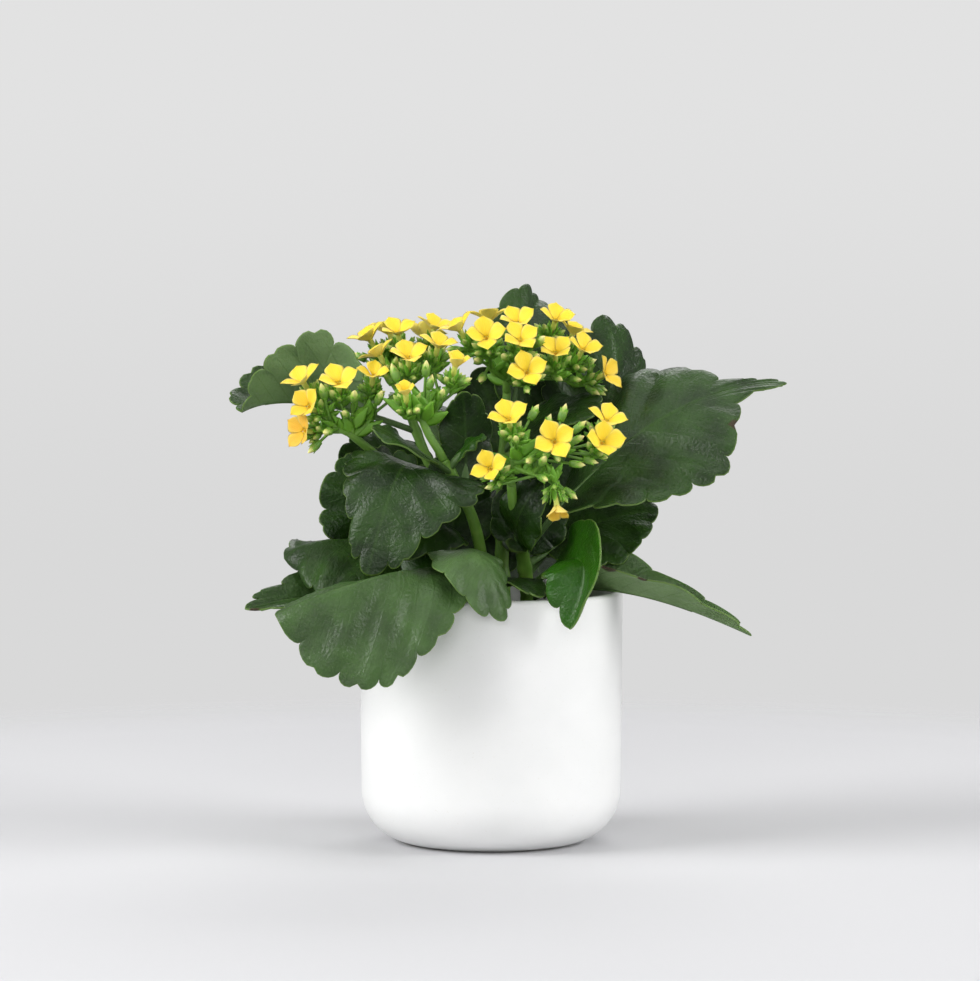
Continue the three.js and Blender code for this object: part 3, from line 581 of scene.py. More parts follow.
@dataclass(frozen=True)
class LeafSkin:
    """The leaves' leathery skin: waxy above, where the wax's grey-green also paints sheen, and pale
    below.
    """

    deep: str = "0e2206"
    green: str = "1f3e06"
    # The grey-green of a waxy bloom, which also stands in for painted sheen on the upper faces.
    wax: str = "62824c"
    # A bright young green, which on some leaves also paints light shining through them.
    fresh: str = "2f6e06"
    under: str = "748c5e"
    rim: str = "6c8a3a"
    rib: str = "44642a"
    scar: str = "352a14"
    gloss: float = 0.27
    cloud_size: float = 16
    spot_size: float = 0.9
    grit_size: float = 1.5
    vein_sway: tuple[float, float] = (0.25, 18)
    vein_line: tuple[float, float] = (0.04, 0.22)
    crease_sway: tuple[float, float] = (2.5, 9)
    crease_pitch: tuple[float, float] = (7, 0.3)
    midrib: tuple[float, float] = (0.2, 1.2)
    rim_band: tuple[float, float] = (0.15, 0.6)
    swell_depth: float = 1.2
    crease_depth: float = 0.12
    grit_depth: float = 0.5
    vein_depth: float = 0.07

    def material(self) -> bpy.types.Material:
        """Mixes the skin from the marks that each leaf carries.

        Returns:
            The finished material.
        """
        recipe = Recipe("leaf_green")
        above = recipe.mark("above")
        clouds = recipe.grain(self.cloud_size, 2)
        spots = recipe.grain(self.spot_size, 3)
        creases = self.creases(recipe)
        veins = self.veins(recipe)
        colour = recipe.mix(clouds.steps(0.3, 0.7), self.deep, self.green)
        # Partly waxy bloom, partly painted sheen: a grey-green lightening per leaf, stronger on the
        # crease ridges and in the clouds.
        waxed = recipe.mark("wax") * (0.5 + 0.5 * creases) * (0.3 + 0.9 * clouds)
        colour = recipe.mix(waxed, colour, self.wax)
        # Partly young growth, partly painted light shining through: a share of brighter green per
        # leaf.
        young = recipe.mix(clouds, self.fresh, self.green)
        colour = recipe.mix(recipe.mark("fresh"), colour, young)
        below = recipe.mix(spots, self.under, self.wax)
        below = recipe.mix(clouds.steps(0.35, 0.75) * 0.3, below, self.green)
        # Painted shade: the undersides of the low back leaves are darkened toward the deep green,
        # where the plant's inside lies in shade.
        below = recipe.mix(recipe.mark("shade"), below, self.deep)
        colour = recipe.mix(1 - above, colour, below)
        colour = recipe.mix(veins * (0.3 - 0.22 * above), colour, self.rib)
        midrib = 1 - recipe.mark("rib").steps(*self.midrib)
        colour = recipe.mix(midrib * (0.5 - 0.35 * recipe.mark("along")), colour, self.rib)
        rim = 1 - recipe.mark("margin").steps(*self.rim_band)
        colour = recipe.mix(rim * 0.5, colour, self.rim)
        dust = spots.steps(0.62, 0.72) * above
        colour = recipe.mix(dust * 0.3, colour, self.wax)
        colour = recipe.mix(recipe.mark("scar").steps(0.35, 0.6), colour, self.scar)
        relief = recipe.bump(clouds, self.swell_depth)
        relief = recipe.bump(creases, self.crease_depth, relief)
        relief = recipe.bump(recipe.grain(self.grit_size, 5), self.grit_depth, relief)
        relief = recipe.bump(1 - veins, self.vein_depth, relief)
        return recipe.coat(
            Base_Color=colour,
            Roughness=self.gloss + 0.12 * spots + 0.2 * (1 - above),
            Normal=relief,
            Specular_IOR_Level=0.31,
            Subsurface_Weight=0.1,
            Subsurface_Radius=(0.4, 1.0, 0.2),
            Subsurface_Scale=0.0012,
        )

    def veins(self, recipe: Recipe) -> Wire:
        """Draws side veins that lean toward the tip, between midrib and margin.

        Args:
            recipe: The skin's nodes.

        Returns:
            1 on a vein and 0 off it.
        """
        sway, size = self.vein_sway
        line = recipe.mark("vein") + sway * recipe.grain(size, 1)
        stripe = (line * math.pi).wave().size()
        near = recipe.mark("rib").steps(0.8, 2.5)
        far = recipe.mark("margin").steps(1.5, 6)
        return (1 - stripe.steps(*self.vein_line)) * near * far

    def creases(self, recipe: Recipe) -> Wire:
        """Draws fine creases that run out with the side veins.

        Args:
            recipe: The skin's nodes.

        Returns:
            Their height from 0 to 1.
        """
        sway, size = self.crease_sway
        along, out = self.crease_pitch
        parts = [recipe.mark("vein") * along, recipe.mark("rib") * out, sway * recipe.grain(size, 2)]
        place = recipe.made("ShaderNodeCombineXYZ", {}, dict(enumerate(parts)))
        return recipe.made("ShaderNodeTexNoise", {}, {"Vector": place, "Scale": 1.0, "Detail": 4.0})


@dataclass(frozen=True)
class StalkSkin:
    """The green of stems, branches, sepals and buds."""

    stem: str = "7da644"
    shade: str = "4e7f26"
    sepal: str = "76b32c"
    bud: str = "b9cf63"
    tip: str = "f3e79a"
    cloud_size: float = 5
    grit_size: float = 0.8
    grit_depth: float = 0.08

    def material(self) -> bpy.types.Material:
        """Mixes the green, paler on buds toward their tips.

        Returns:
            The finished material.
        """
        recipe = Recipe("stalk_green")
        clouds = recipe.grain(self.cloud_size, 3)
        colour = recipe.mix(clouds, self.shade, self.stem)
        colour = recipe.mix(recipe.mark("sepal") * (0.5 + 0.5 * clouds), colour, self.sepal)
        colour = recipe.mix(recipe.mark("bud"), colour, self.bud)
        colour = recipe.mix(recipe.mark("tip"), colour, self.tip)
        return recipe.coat(
            Base_Color=colour,
            Roughness=0.42 + 0.15 * clouds,
            Normal=recipe.bump(recipe.grain(self.grit_size, 3), self.grit_depth),
            Specular_IOR_Level=0.5,
            Subsurface_Weight=0.15,
            Subsurface_Radius=(0.5, 1.0, 0.2),
            Subsurface_Scale=0.001,
        )


@dataclass(frozen=True)
class PetalSkin:
    """The satin yellow of the petals."""

    lemon: str = "ffdb30"
    gold: str = "f2b83a"
    back: str = "f8e07a"
    throat: str = "f0ca26"
    tube: str = "c9cf62"
    anther: str = "d8a818"
    lines: float = 30
    grit_size: float = 0.7
    relief: float = 0.05

    def material(self) -> bpy.types.Material:
        """Mixes the yellow: fine lines along each petal, warmer at the throat, paler behind, and
        paler toward the edges, partly as painted highlight.

        Returns:
            The finished material.
        """
        recipe = Recipe("petal_yellow")
        above = recipe.mark("above")
        across = recipe.mark("across")
        lines = (across * self.lines + 2 * recipe.grain(2, 1)).wave()
        colour = recipe.mix(recipe.mark("age"), self.lemon, self.gold)
        colour = recipe.mix((1 - above) * 0.75, colour, self.back)
        colour = recipe.mix((0.5 + 0.5 * lines) * 0.12, colour, self.back)
        # Paler toward the petals' side edges: partly their colour, partly painted highlight along
        # the edges.
        colour = recipe.mix(across.size().steps(0.5, 1) * 0.45, colour, self.back)
        throat = 1 - recipe.mark("reach").steps(0.02, 0.28)
        colour = recipe.mix(throat * above * 0.6, colour, self.throat)
        colour = recipe.mix(recipe.mark("tube"), colour, self.tube)
        colour = recipe.mix(recipe.mark("anther"), colour, self.anther)
        relief = recipe.bump(0.5 + 0.5 * lines, self.relief)
        relief = recipe.bump(recipe.grain(self.grit_size, 3), self.relief, relief)
        return recipe.coat(
            Base_Color=colour,
            Roughness=0.5 + 0.1 * recipe.grain(1.5),
            Normal=relief,
            Specular_IOR_Level=0.35,
            Subsurface_Weight=0.25,
            Subsurface_Radius=(1.0, 0.8, 0.2),
            Subsurface_Scale=0.0012,
            Sheen_Weight=0.15,
            Sheen_Roughness=0.4,
        )


@dataclass(frozen=True)
class StudioPaint:
    """The matt pale paint of the floor, which fades out between two radii in metres."""

    pale: str = "d0d0d2"
    soft: str = "cbcbcd"
    full: float = 0.44
    gone: float = 0.62

    def material(self) -> bpy.types.Material:
        """Mixes the paint with faint clouds, and lets it fade out towards the floor's edge.

        Returns:
            The finished material.
        """
        recipe = Recipe("studio_paint")
        clouds = recipe.grain(400, 2)
        place = recipe.made("ShaderNodeTexCoord", {}, {}, "Object")
        away = recipe.made("ShaderNodeVectorMath", {"operation": "LENGTH"}, {0: place}, "Value")
        return recipe.coat(
            Base_Color=recipe.mix(clouds, self.pale, self.soft),
            Roughness=0.85 + 0.05 * clouds,
            Alpha=1 - away.steps(self.full, self.gone),
            Normal=recipe.bump(recipe.grain(3, 2), 0.05),
            Specular_IOR_Level=0.1,
        )


@dataclass(frozen=True)
class StudioHaze:
    """The even pale glow far behind everything, darker below foot than above head, in metres."""

    high: str = "e2e2e2"
    low: str = "d9d9d9"
    foot: float = -0.6
    head: float = 0.5

    def material(self) -> bpy.types.Material:
        """Mixes the glow by height.

        Returns:
            The finished material.
        """
        recipe = Recipe("studio_haze")
        place = recipe.made("ShaderNodeTexCoord", {}, {}, "Object")
        height = recipe.made("ShaderNodeSeparateXYZ", {}, {0: place}, "Z")
        return recipe.coat(
            Base_Color="000000",
            Roughness=1.0,
            Emission_Color=recipe.mix(height.steps(self.foot, self.head), self.low, self.high),
            Emission_Strength=1.0,
            Specular_IOR_Level=0.0,
        )


# ---- Pot and soil ----


def arc(middle: Sequence[float], radius: float, start: float, end: float, steps: int) -> np.ndarray:
    """Points of a profile's rounded corner.

    Args:
        middle: The radius and height of its centre.
        radius: Its radius.
        start: Where it starts, in degrees.
        end: Where it ends, in degrees.
        steps: How many steps it has.

    Returns:
        Rows of radius and height.
    """
    turns = np.radians(np.linspace(start, end, steps + 1))
    out, up = middle
    return np.stack([out + radius * np.cos(turns), up + radius * np.sin(turns)], axis=1)


@dataclass(frozen=True)
class Pot:
    """The round white pot with its soft foot."""

    height: float = 115
    rim_radius: float = 60
    body_radius: float = 59
    corner: float = 24
    wall: float = 4
    floor: float = 6
    foot_inset: float = 0.6
    axis: float = 0.01
    sides: int = 160

    def profile(self) -> np.ndarray:
        """Draws the pot's outline.

        Returns:
            Rows of radius and height, from the middle of its foot over the rim to its floor's.
        """
        inner = self.body_radius - self.wall
        inner_corner = self.corner - self.wall
        lip = self.wall / 2
        foot, rim = (self.body_radius, self.corner), (self.rim_radius, self.height - lip)
        body = np.linspace(foot, rim, 14)
        flat = self.body_radius - self.corner
        return np.concatenate(
            [
                [(self.axis, 0), (flat - self.foot_inset, 0)],
                arc((flat, self.corner), self.corner, -90, 0, 20),
                body[1:-1],
                arc((self.rim_radius - lip, self.height - lip), lip, 0, 180, 10),
                arc((inner - inner_corner, self.floor + inner_corner), inner_corner, 0, -90, 8),
                [(self.axis, self.floor)],
            ]
        )

    def wall_radius(self, z: float) -> float:
        """Measures the inside of the wall.

        Args:
            z: A height above the wall's inner corner.

        Returns:
            The wall's inner radius there.
        """
        low, high = self.floor + self.corner - self.wall, self.height - self.wall / 2
        share = (z - low) / (high - low)
        return self.body_radius + (self.rim_radius - self.body_radius) * share - self.wall

    def build(self, finish: Glaze) -> None:
        """Makes the pot.

        Args:
            finish: What it is glazed with.
        """
        mould = Mould(["height"])
        profile = self.profile()
        points = lathe(profile, self.sides)
        mould.add(points, ring_faces(len(profile), self.sides), height=points[:, 2])
        mould.cast("pot_body", finish.material(), "pot")


@dataclass(frozen=True)
class Soil:
    """The mound of soil that fills the pot."""

    pot: Pot
    top: float = 104
    crown: float = 2.5
    gap: float = 0.3
    sides: int = 150
    rings: int = 46
    crumb: float = 1.1
    edge_fade: float = 0.06
    chips: int = 130
    chip_least: Point = (0.8, 0.5, 0.3)
    chip_most: Point = (2.6, 1.5, 0.8)
    chip_sides: int = 7
    seed: int = 11

    def relief(self, points: np.ndarray) -> np.ndarray:
        """Crumbles the mound.

        Args:
            points: Points of its smooth top.

        Returns:
            How far the crumbs stand out at each.
        """
        rough = [
            noise.noise(Vector(point) * 0.32) + 0.6 * noise.noise(Vector(point) * 0.9)
            for point in points.tolist()
        ]
        return np.array(rough) * self.crumb

    def build(self, finish: Compost) -> None:
        """Makes the mound, with loose chips of bark on it.

        Args:
            finish: What it is made of.
        """
        mould = Mould(["chip"])
        edge = self.pot.wall_radius(self.top) - self.gap
        inner = self.pot.corner - self.pot.wall - self.gap
        body = self.pot.body_radius - self.pot.wall - self.gap
        floor = self.pot.floor + self.gap
        shares = np.linspace(1, 0.002, self.rings)
        corner = arc((body - inner, floor + inner), inner, -90, 0, 6)
        below = np.concatenate([[(self.pot.axis, floor)], corner])
        dome = np.stack([edge * shares, self.top + self.crown * (1 - shares**2)], axis=1)
        points = lathe(np.concatenate([below, dome]), self.sides)
        upper = len(below) * self.sides
        fade = smooth(1 - np.repeat(shares, self.sides), 0.0, self.edge_fade)
        points[upper:, 2] += self.relief(points[upper:]) * fade
        mould.add(points, ring_faces(len(below) + len(dome), self.sides))
        self.scatter(mould, edge)
        mould.cast("soil_mound", finish.material(), "soil")

    def scatter(self, mould: Mould, edge: float) -> None:
        """Lays small chips of bark on the mound, each half sunk in it.

        Args:
            mould: The soil's piece.
            edge: The mound's radius.
        """
        dice = np.random.default_rng(self.seed)
        heights = np.array([-1, -0.5, 0.3, 1])
        girth = np.sqrt(np.maximum(1 - heights**2, 0.04))
        profile = np.stack([girth, heights], axis=1)
        for _ in range(self.chips):
            radius, turn = edge * 0.93 * math.sqrt(dice.random()), dice.random() * 2 * math.pi
            lift = self.crown * (1 - (radius / edge) ** 2)
            at = np.array([radius * math.cos(turn), radius * math.sin(turn), self.top + lift])
            size = dice.uniform(self.chip_least, self.chip_most)
            points = lathe(profile, self.chip_sides)
            points *= size * dice.uniform(0.85, 1.15, (len(points), 1))
            faces = ring_faces(len(profile), self.chip_sides)
            mould.add(points @ facing(dice.normal(size=3)).T + at, faces, chip=1.0)


# ---- Leaves ----


@dataclass(frozen=True)
class Scar:
    """A brown spot on a leaf's margin: how far along it is, on which side, and its radius."""

    share: float
    side: int
    radius: float


@dataclass(frozen=True)
class Leaf:
    """One scalloped leaf, which leaves its stem at height z, bends toward a point and has a tip.

    up is the way that its face looks. half is its half width, with right_share of it on the right.
    left and right are the angles between which each half is arched, in degrees. point narrows the
    tip over the shares of narrow, cut scales the notches, and stem is its stem's place. The next
    three fields are shares of colours: a fresh green that partly paints light shining through; a
    grey-green that is partly waxy bloom and partly painted sheen; and painted shade, on the
    underside.
    """

    name: str
    z: float
    bend: Point
    tip: Point
    up: Point
    half: float = 30
    right_share: float = 1
    stalk: float = 0.14
    lobes: int = 4
    skew: float = 0.15
    point: float = 0
    narrow: tuple[float, float] = (0.5, 0.85)
    cut: float = 1
    left: tuple[float, float] = (-8, 20)
    right: tuple[float, float] = (-8, 20)
    stem: int = 0
    fresh: float = 0
    wax: float = 0.15
    shade: float = 0
    scars: tuple[Scar, ...] = ()

    MARKS: ClassVar[tuple[str, ...]] = (
        "above", "along", "rib", "margin", "vein", "wax", "fresh", "shade", "scar",
    )
    CUT: ClassVar[float] = 0.14
    CUT_RANGE: ClassVar[tuple[float, float]] = (0.55, 0.85)
    MINOR_CUT: ClassVar[float] = 0.06
    MINOR_FROM: ClassVar[float] = 25
    SMOOTH_BASE: ClassVar[float] = 0.2
    TIP_FROM: ClassVar[float] = 0.97
    MIDDLE: ClassVar[float] = 0.4
    FULLNESS: ClassVar[float] = 0.85
    PETIOLE: ClassVar[tuple[float, float]] = (2.1, 1.5)
    MIDRIB: ClassVar[tuple[float, float]] = (1.2, 0.8)
    MIDRIB_SUNK: ClassVar[float] = 0.55
    MIDRIB_END: ClassVar[float] = 0.8
    PETIOLE_SIDES: ClassVar[int] = 12
    FOLD: ClassVar[float] = 0.3
    WAVE: ClassVar[float] = 1.5
    RIPPLES: ClassVar[float] = 2.5
    OFFSET: ClassVar[float] = 0.37
    THICK: ClassVar[float] = 1.3
    THIN: ClassVar[float] = 0.9
    RIM: ClassVar[float] = 0.45
    BASE_STEPS: ClassVar[int] = 7
    LOBE_STEPS: ClassVar[int] = 12
    COLUMNS: ClassVar[int] = 13
    VEIN_PITCH: ClassVar[float] = 9
    VEIN_LEAN: ClassVar[float] = 0.85
    DOME: ClassVar[float] = 0.5
    QUILT: ClassVar[float] = 0.07
    BUCKLE: ClassVar[float] = 1.4
    BUCKLE_VEINS: ClassVar[float] = 2.6
    BUCKLE_OFFSET: ClassVar[float] = 0.17
    SPINE_STEPS: ClassVar[int] = 24
    COLUMN_EASE: ClassVar[float] = 0.85
    RIM_SHARE: ClassVar[float] = 0.2
    RIM_STEP: ClassVar[float] = 0.3
    MIDRIB_MARGIN: ClassVar[float] = 9
    MIDRIB_WAX_AND_SHEEN: ClassVar[float] = 0.1
    MIDRIB_ABOVE: ClassVar[float] = 0.3

    def spine(self, start: np.ndarray, along: np.ndarray) -> tuple[np.ndarray, np.ndarray]:
        """Follows the leaf's midrib.

        Args:
            start: Where the leaf leaves its stem.
            along: Shares of the midrib's length.

        Returns:
            The midrib's points, and the way that it runs at each.
        """
        t = along[..., None]
        bend, tip = np.array(self.bend, float), np.array(self.tip, float)
        return bow(start, bend, tip, t), unit((1 - t) * (bend - start) + t * (tip - bend))

    def upward(self, ahead: np.ndarray) -> np.ndarray:
        """The way the upper face looks, at right angles to the midrib."""
        up = np.array(self.up, float)
        return unit(up - ahead * (ahead @ up)[..., None])

    def surface(
        self, start: np.ndarray, along: np.ndarray, side: int, distance: np.ndarray
    ) -> np.ndarray:
        """Places points of the leaf's middle surface.

        Args:
            start: Where the leaf leaves its stem.
            along: Shares of the midrib's length.
            side: -1 for the left half and 1 for the right.
            distance: How far out from the midrib each point lies.

        Returns:
            The points.
        """
        middle, ahead = self.spine(start, along)
        up = self.upward(ahead)
        across = np.cross(ahead, up) * side
        half = self.half * (1 if side < 0 else self.right_share)
        ease = smooth(along, 0.5 * self.stalk, self.stalk + self.FOLD)
        near, far = (math.radians(a) * ease for a in (self.left if side < 0 else self.right))
        rate = (far - near) / half
        rate = np.where(np.abs(rate) < 1e-6, 1e-6, rate)
        end = near + rate * distance
        outward = (np.sin(end) - np.sin(near)) / rate
        down = (np.cos(near) - np.cos(end)) / rate
        phase = self.RIPPLES * along + (0 if side < 0 else self.OFFSET)
        ripple = self.WAVE * ease * (distance / half) ** 2 * np.sin(2 * math.pi * phase)
        return middle + across * outward[..., None] + up * (ripple - down)[..., None]

    def normal(
        self, start: np.ndarray, along: np.ndarray, side: int, distance: np.ndarray
    ) -> np.ndarray:
        """Works out which way the upper face looks.

        Args:
            start: Where the leaf leaves its stem.
            along: Shares of the midrib's length.
            side: -1 for the left half and 1 for the right.
            distance: How far out from the midrib each point of the middle surface lies.

        Returns:
            The way at each point.
        """
        step = 0.01
        length = self.surface(start, along + step, side, distance)
        length = length - self.surface(start, along - step, side, distance)
        width = self.surface(start, along, side, distance + step)
        width = width - self.surface(start, along, side, distance - step)
        slope = unit(np.cross(width, length) * side)
        rib = self.upward(self.spine(start, along)[1])
        return np.where((distance < 1e-6)[..., None], rib, slope)

    def shares(self) -> np.ndarray:
        """Spaces the outline's points, closest in the notches.

        Returns:
            Their places from the blade's base to its tip, from 0 to 1.
        """
        swing = (1 - np.cos(np.pi * np.arange(self.LOBE_STEPS) / self.LOBE_STEPS)) / 2
        base = np.linspace(0, self.SMOOTH_BASE, self.BASE_STEPS + 1)[:-1]
        whole = (np.arange(self.lobes)[:, None] + swing).ravel()
        tip = self.lobes + swing[: self.LOBE_STEPS // 2 + 1]
        lobed = np.concatenate([whole, tip]) / (self.lobes + 0.5)
        return np.concatenate([base, self.SMOOTH_BASE + (1 - self.SMOOTH_BASE) * lobed])

    def outline(self, side: int, dice: np.random.Generator) -> tuple[np.ndarray, ...]:
        """Draws one half of the blade's edge.

        Args:
            side: -1 for the left half and 1 for the right.
            dice: What makes the lobes differ.

        Returns:
            How far along and how far out each point of the edge lies, and its place in its lobe.
        """
        share = self.shares()
        reach = (1 - np.cos(np.pi * share)) / 2
        lobe = (self.lobes + 0.5) * (share - self.SMOOTH_BASE) / (1 - self.SMOOTH_BASE)
        base = np.cos(np.pi / 2 * np.clip(share / self.SMOOTH_BASE, 0, 1) ** 3)
        bulge = np.where(lobe < 0, base, np.abs(np.sin(np.pi * lobe)))
        depth = self.cut * self.CUT * dice.uniform(*self.CUT_RANGE, self.lobes + 2)
        depth[-1] = depth[-2]
        notch = np.interp(lobe, np.arange(self.lobes + 2), depth)
        notch = np.where(share > self.TIP_FROM, self.CUT, notch)
        minor = self.MINOR_CUT * (1 - np.abs(np.sin(2 * np.pi * lobe)) ** 0.5)
        minor = minor * (lobe > 0) * (self.half > self.MINOR_FROM)
        scale = 1 - notch * (1 - np.maximum(bulge, 0) ** 0.5) - minor * np.sin(np.pi * share)
        narrow = 1 - self.point * smooth(reach, *self.narrow)
        full = np.sin(np.pi * share) ** self.FULLNESS * (1 + self.skew * np.cos(np.pi * share))
        out = np.hypot(full * narrow * scale, self.PETIOLE[0] / self.half * (1 - share))
        half = self.half * (1 if side < 0 else self.right_share)
        return self.MIDDLE + (reach - self.MIDDLE) * scale, out * half, lobe

    def rise(
        self, side: int, out: np.ndarray, margin: np.ndarray, dome: np.ndarray, vein: np.ndarray
    ) -> np.ndarray:
        """Shapes the skin: each lobe domed, quilted between the veins, and gently buckled.

        Args:
            side: -1 for the left half and 1 for the right.
            out: How far out from the midrib each point lies.
            margin: How far it lies from the leaf's edge.
            dome: How far its lobe is domed there.
            vein: Its place between the side veins.

        Returns:
            How far each point stands above the plain surface.
        """
        offset = self.BUCKLE_OFFSET * side
        quilt = self.QUILT * np.cos(2 * np.pi * vein) * smooth(out, 2, 8) * smooth(margin, 1, 6)
        fold = self.BUCKLE * np.sin(2 * np.pi * (vein / self.BUCKLE_VEINS + offset))
        fold = fold * smooth(out, 3, 20)
        return dome * smooth(out, 0, 6) + quilt + fold * smooth(margin, 0, 9)

    def browned(self, side: int, middle: np.ndarray, edge_along: np.ndarray) -> np.ndarray:
        """Browns the margin about the leaf's scars.

        Args:
            side: -1 for the left half and 1 for the right.
            middle: The points of the middle surface.
            edge_along: How far along each row's end lies.

        Returns:
            How brown each point is.
        """
        scar = np.zeros(middle.shape[:2])
        for spot in self.scars:
            if spot.side == side:
                at = middle[int(np.argmin(np.abs(edge_along - spot.share))), -1]
                gap = np.linalg.norm(middle - at, axis=-1) / spot.radius
                scar = np.maximum(scar, np.exp(-(gap**2)))
        return scar

    def blade(self, mould: Mould, start: np.ndarray, dice: np.random.Generator) -> None:
        """Adds the blade: two fans of quads that start on the midrib, with a round rim.

        Args:
            mould: The shoot's blades.
            start: Where the leaf leaves its stem.
            dice: What makes the lobes differ.
        """
        spine = self.spine(start, np.linspace(0, 1, self.SPINE_STEPS))[0]
        length = np.linalg.norm(np.diff(spine, axis=0), axis=1).sum()
        for side in (-1, 1):
            edge_along, edge_out, lobe = self.outline(side, dice)
            edge_along = np.concatenate([edge_along[:1], edge_along])
            edge_out = np.concatenate([[0], edge_out[:-1], [0]])
            lobe = np.concatenate([[-1], lobe])[:, None]
            ray = np.hypot((edge_along - self.MIDDLE) * length * (1 - self.stalk), edge_out)
            rim = np.minimum(self.RIM, self.RIM_SHARE * ray)[:, None]
            inner = np.linspace(0, 1, self.COLUMNS) ** self.COLUMN_EASE
            inner = inner * (1 - rim / ray[:, None])
            last = 1 - rim * self.RIM_STEP / ray[:, None]
            part = np.concatenate([inner, last, np.ones_like(rim)], axis=1)
            along = self.MIDDLE + (edge_along[:, None] - self.MIDDLE) * part
            along = self.stalk + (1 - self.stalk) * along
            out = edge_out[:, None] * part
            middle = self.surface(start, along, side, out)
            normal = self.normal(start, along, side, out)
            margin = (1 - part) * ray[:, None]
            body = (self.THICK + (self.THIN - self.THICK) * part) / 2
            rounding = np.sqrt(1 - (1 - np.clip(margin / rim, 0, 1)) ** 2)
            dome = self.DOME * np.cos(2 * np.pi * (lobe - 0.5)) * (lobe > 0) * part**3
            vein = (along * length - self.VEIN_LEAN * out) / self.VEIN_PITCH
            rise = self.rise(side, out, margin, dome, vein)[..., None]
            lift = (body * rounding)[..., None]
            over = middle + normal * (rise + lift)
            under = middle + normal * (rise - lift)
            strip = np.concatenate([over, under[:, -2::-1]], axis=1)
            shares = {"along": along, "rib": out, "margin": margin, "vein": vein}
            shares["scar"] = self.browned(side, middle, edge_along)
            marks = {
                name: np.concatenate([values, values[:, -2::-1]], axis=1)
                for name, values in shares.items()
            }
            top, bottom = np.ones_like(part), np.zeros_like(part[:, 1:])
            marks["above"] = np.concatenate([top, bottom], axis=1)
            faces = sheet_faces(*strip.shape[:2], flip=side > 0)
            mould.add(strip, faces, wax=self.wax, fresh=self.fresh, shade=self.shade, **marks)

    def petiole(self, mould: Mould, start: np.ndarray) -> None:
        """Adds the leaf's stalk, which runs on under the blade as its midrib.

        Args:
            mould: The shoot's blades.
            start: Where the leaf leaves its stem.
        """
        below = np.linspace(self.stalk, self.MIDRIB_END, 16)[1:]
        along = np.concatenate([np.linspace(0, self.stalk, 6), below])
        middle, ahead = self.spine(start, along)
        up = self.upward(ahead)
        across = np.cross(ahead, up)
        blade = smooth(along, self.stalk * 0.8, self.stalk + 0.25)[:, None, None]
        fade = (1 - smooth(along, self.stalk, 0.85))[:, None, None]
        sides = self.PETIOLE_SIDES
        turns = np.linspace(0, 2 * np.pi, sides, endpoint=False)[None, :, None]
        wide, high = (
            stalk * (1 - blade) + midrib * blade for stalk, midrib in zip(self.PETIOLE, self.MIDRIB)
        )
        wide = wide * (0.15 + 0.85 * fade)
        high = high * (0.25 + 0.75 * fade)
        rise = np.sin(turns) * high - self.MIDRIB_SUNK * blade
        rings = middle[:, None] + across[:, None] * np.cos(turns) * wide + up[:, None] * rise
        mould.add(
            rings, ring_faces(len(along), sides),
            along=np.repeat(along, sides), margin=self.MIDRIB_MARGIN, wax=self.MIDRIB_WAX_AND_SHEEN,
            fresh=self.fresh, above=self.MIDRIB_ABOVE,
        )


@dataclass(frozen=True)
class Shoot:
    """A leafy shoot: its stems and leaves. The first stem stands in the soil."""

    name: str
    stems: tuple[tuple[Point, ...], ...]
    leaves: tuple[Leaf, ...]

    RADIUS: ClassVar[float] = 3.2
    TOP_RADIUS: ClassVar[float] = 2
    DEPTHS: ClassVar[tuple[float, ...]] = (29, 12, 3)
    SIDES: ClassVar[int] = 16
    SWELL: ClassVar[float] = 0.14
    SWELL_REACH: ClassVar[float] = 2.2
    STEPS: ClassVar[int] = 60
    SEARCH_STEPS: ClassVar[int] = 400
    SEED: ClassVar[int] = 100

    def stem_point(self, leaf: Leaf) -> np.ndarray:
        """Finds where a leaf leaves its stem.

        Args:
            leaf: One of the shoot's leaves.

        Returns:
            The point of the stem at the leaf's height.
        """
        line = through(self.stems[leaf.stem], np.linspace(0, 1, self.SEARCH_STEPS))
        return line[int(np.argmin(np.abs(line[:, 2] - leaf.z)))]

    def stem(self, mould: Mould, place: int) -> None:
        """Adds one stem, a little swollen where leaves leave it.

        Args:
            mould: The shoot's stems.
            place: Which of its stems it is.
        """
        shares = np.linspace(0, 1, self.STEPS)
        line = through(self.stems[place], shares)
        start = self.RADIUS if place == 0 else self.TOP_RADIUS
        radii = start + (self.TOP_RADIUS - start) * shares
        for leaf in self.leaves:
            if leaf.stem == place:
                gap = (line[:, 2] - leaf.z) / self.SWELL_REACH
                radii = radii * (1 + self.SWELL * np.exp(-(gap**2)))
        if place == 0:
            root = line[0] - [[0, 0, depth] for depth in self.DEPTHS]
            line = np.concatenate([root, line])
            radii = np.concatenate([[start] * len(root), radii])
        mould.rod(line, radii, self.SIDES)

    def build(self, leaf_finish: bpy.types.Material, stem_finish: bpy.types.Material) -> None:
        """Makes the shoot's stems and its leaves.

        Args:
            leaf_finish: The leaves' skin.
            stem_finish: The stems' green.
        """
        stems = Mould(Head.MARKS)
        for place in range(len(self.stems)):
            self.stem(stems, place)
        stems.cast(f"{self.name}_stems", stem_finish, self.name)
        blades = Mould(Leaf.MARKS)
        for place, leaf in enumerate(self.leaves):
            start = self.stem_point(leaf)
            leaf.blade(blades, start, np.random.default_rng(self.SEED + place))
            leaf.petiole(blades, start)
        blades.cast(f"{self.name}_leaves", leaf_finish, self.name)


# ---- Flowers ----


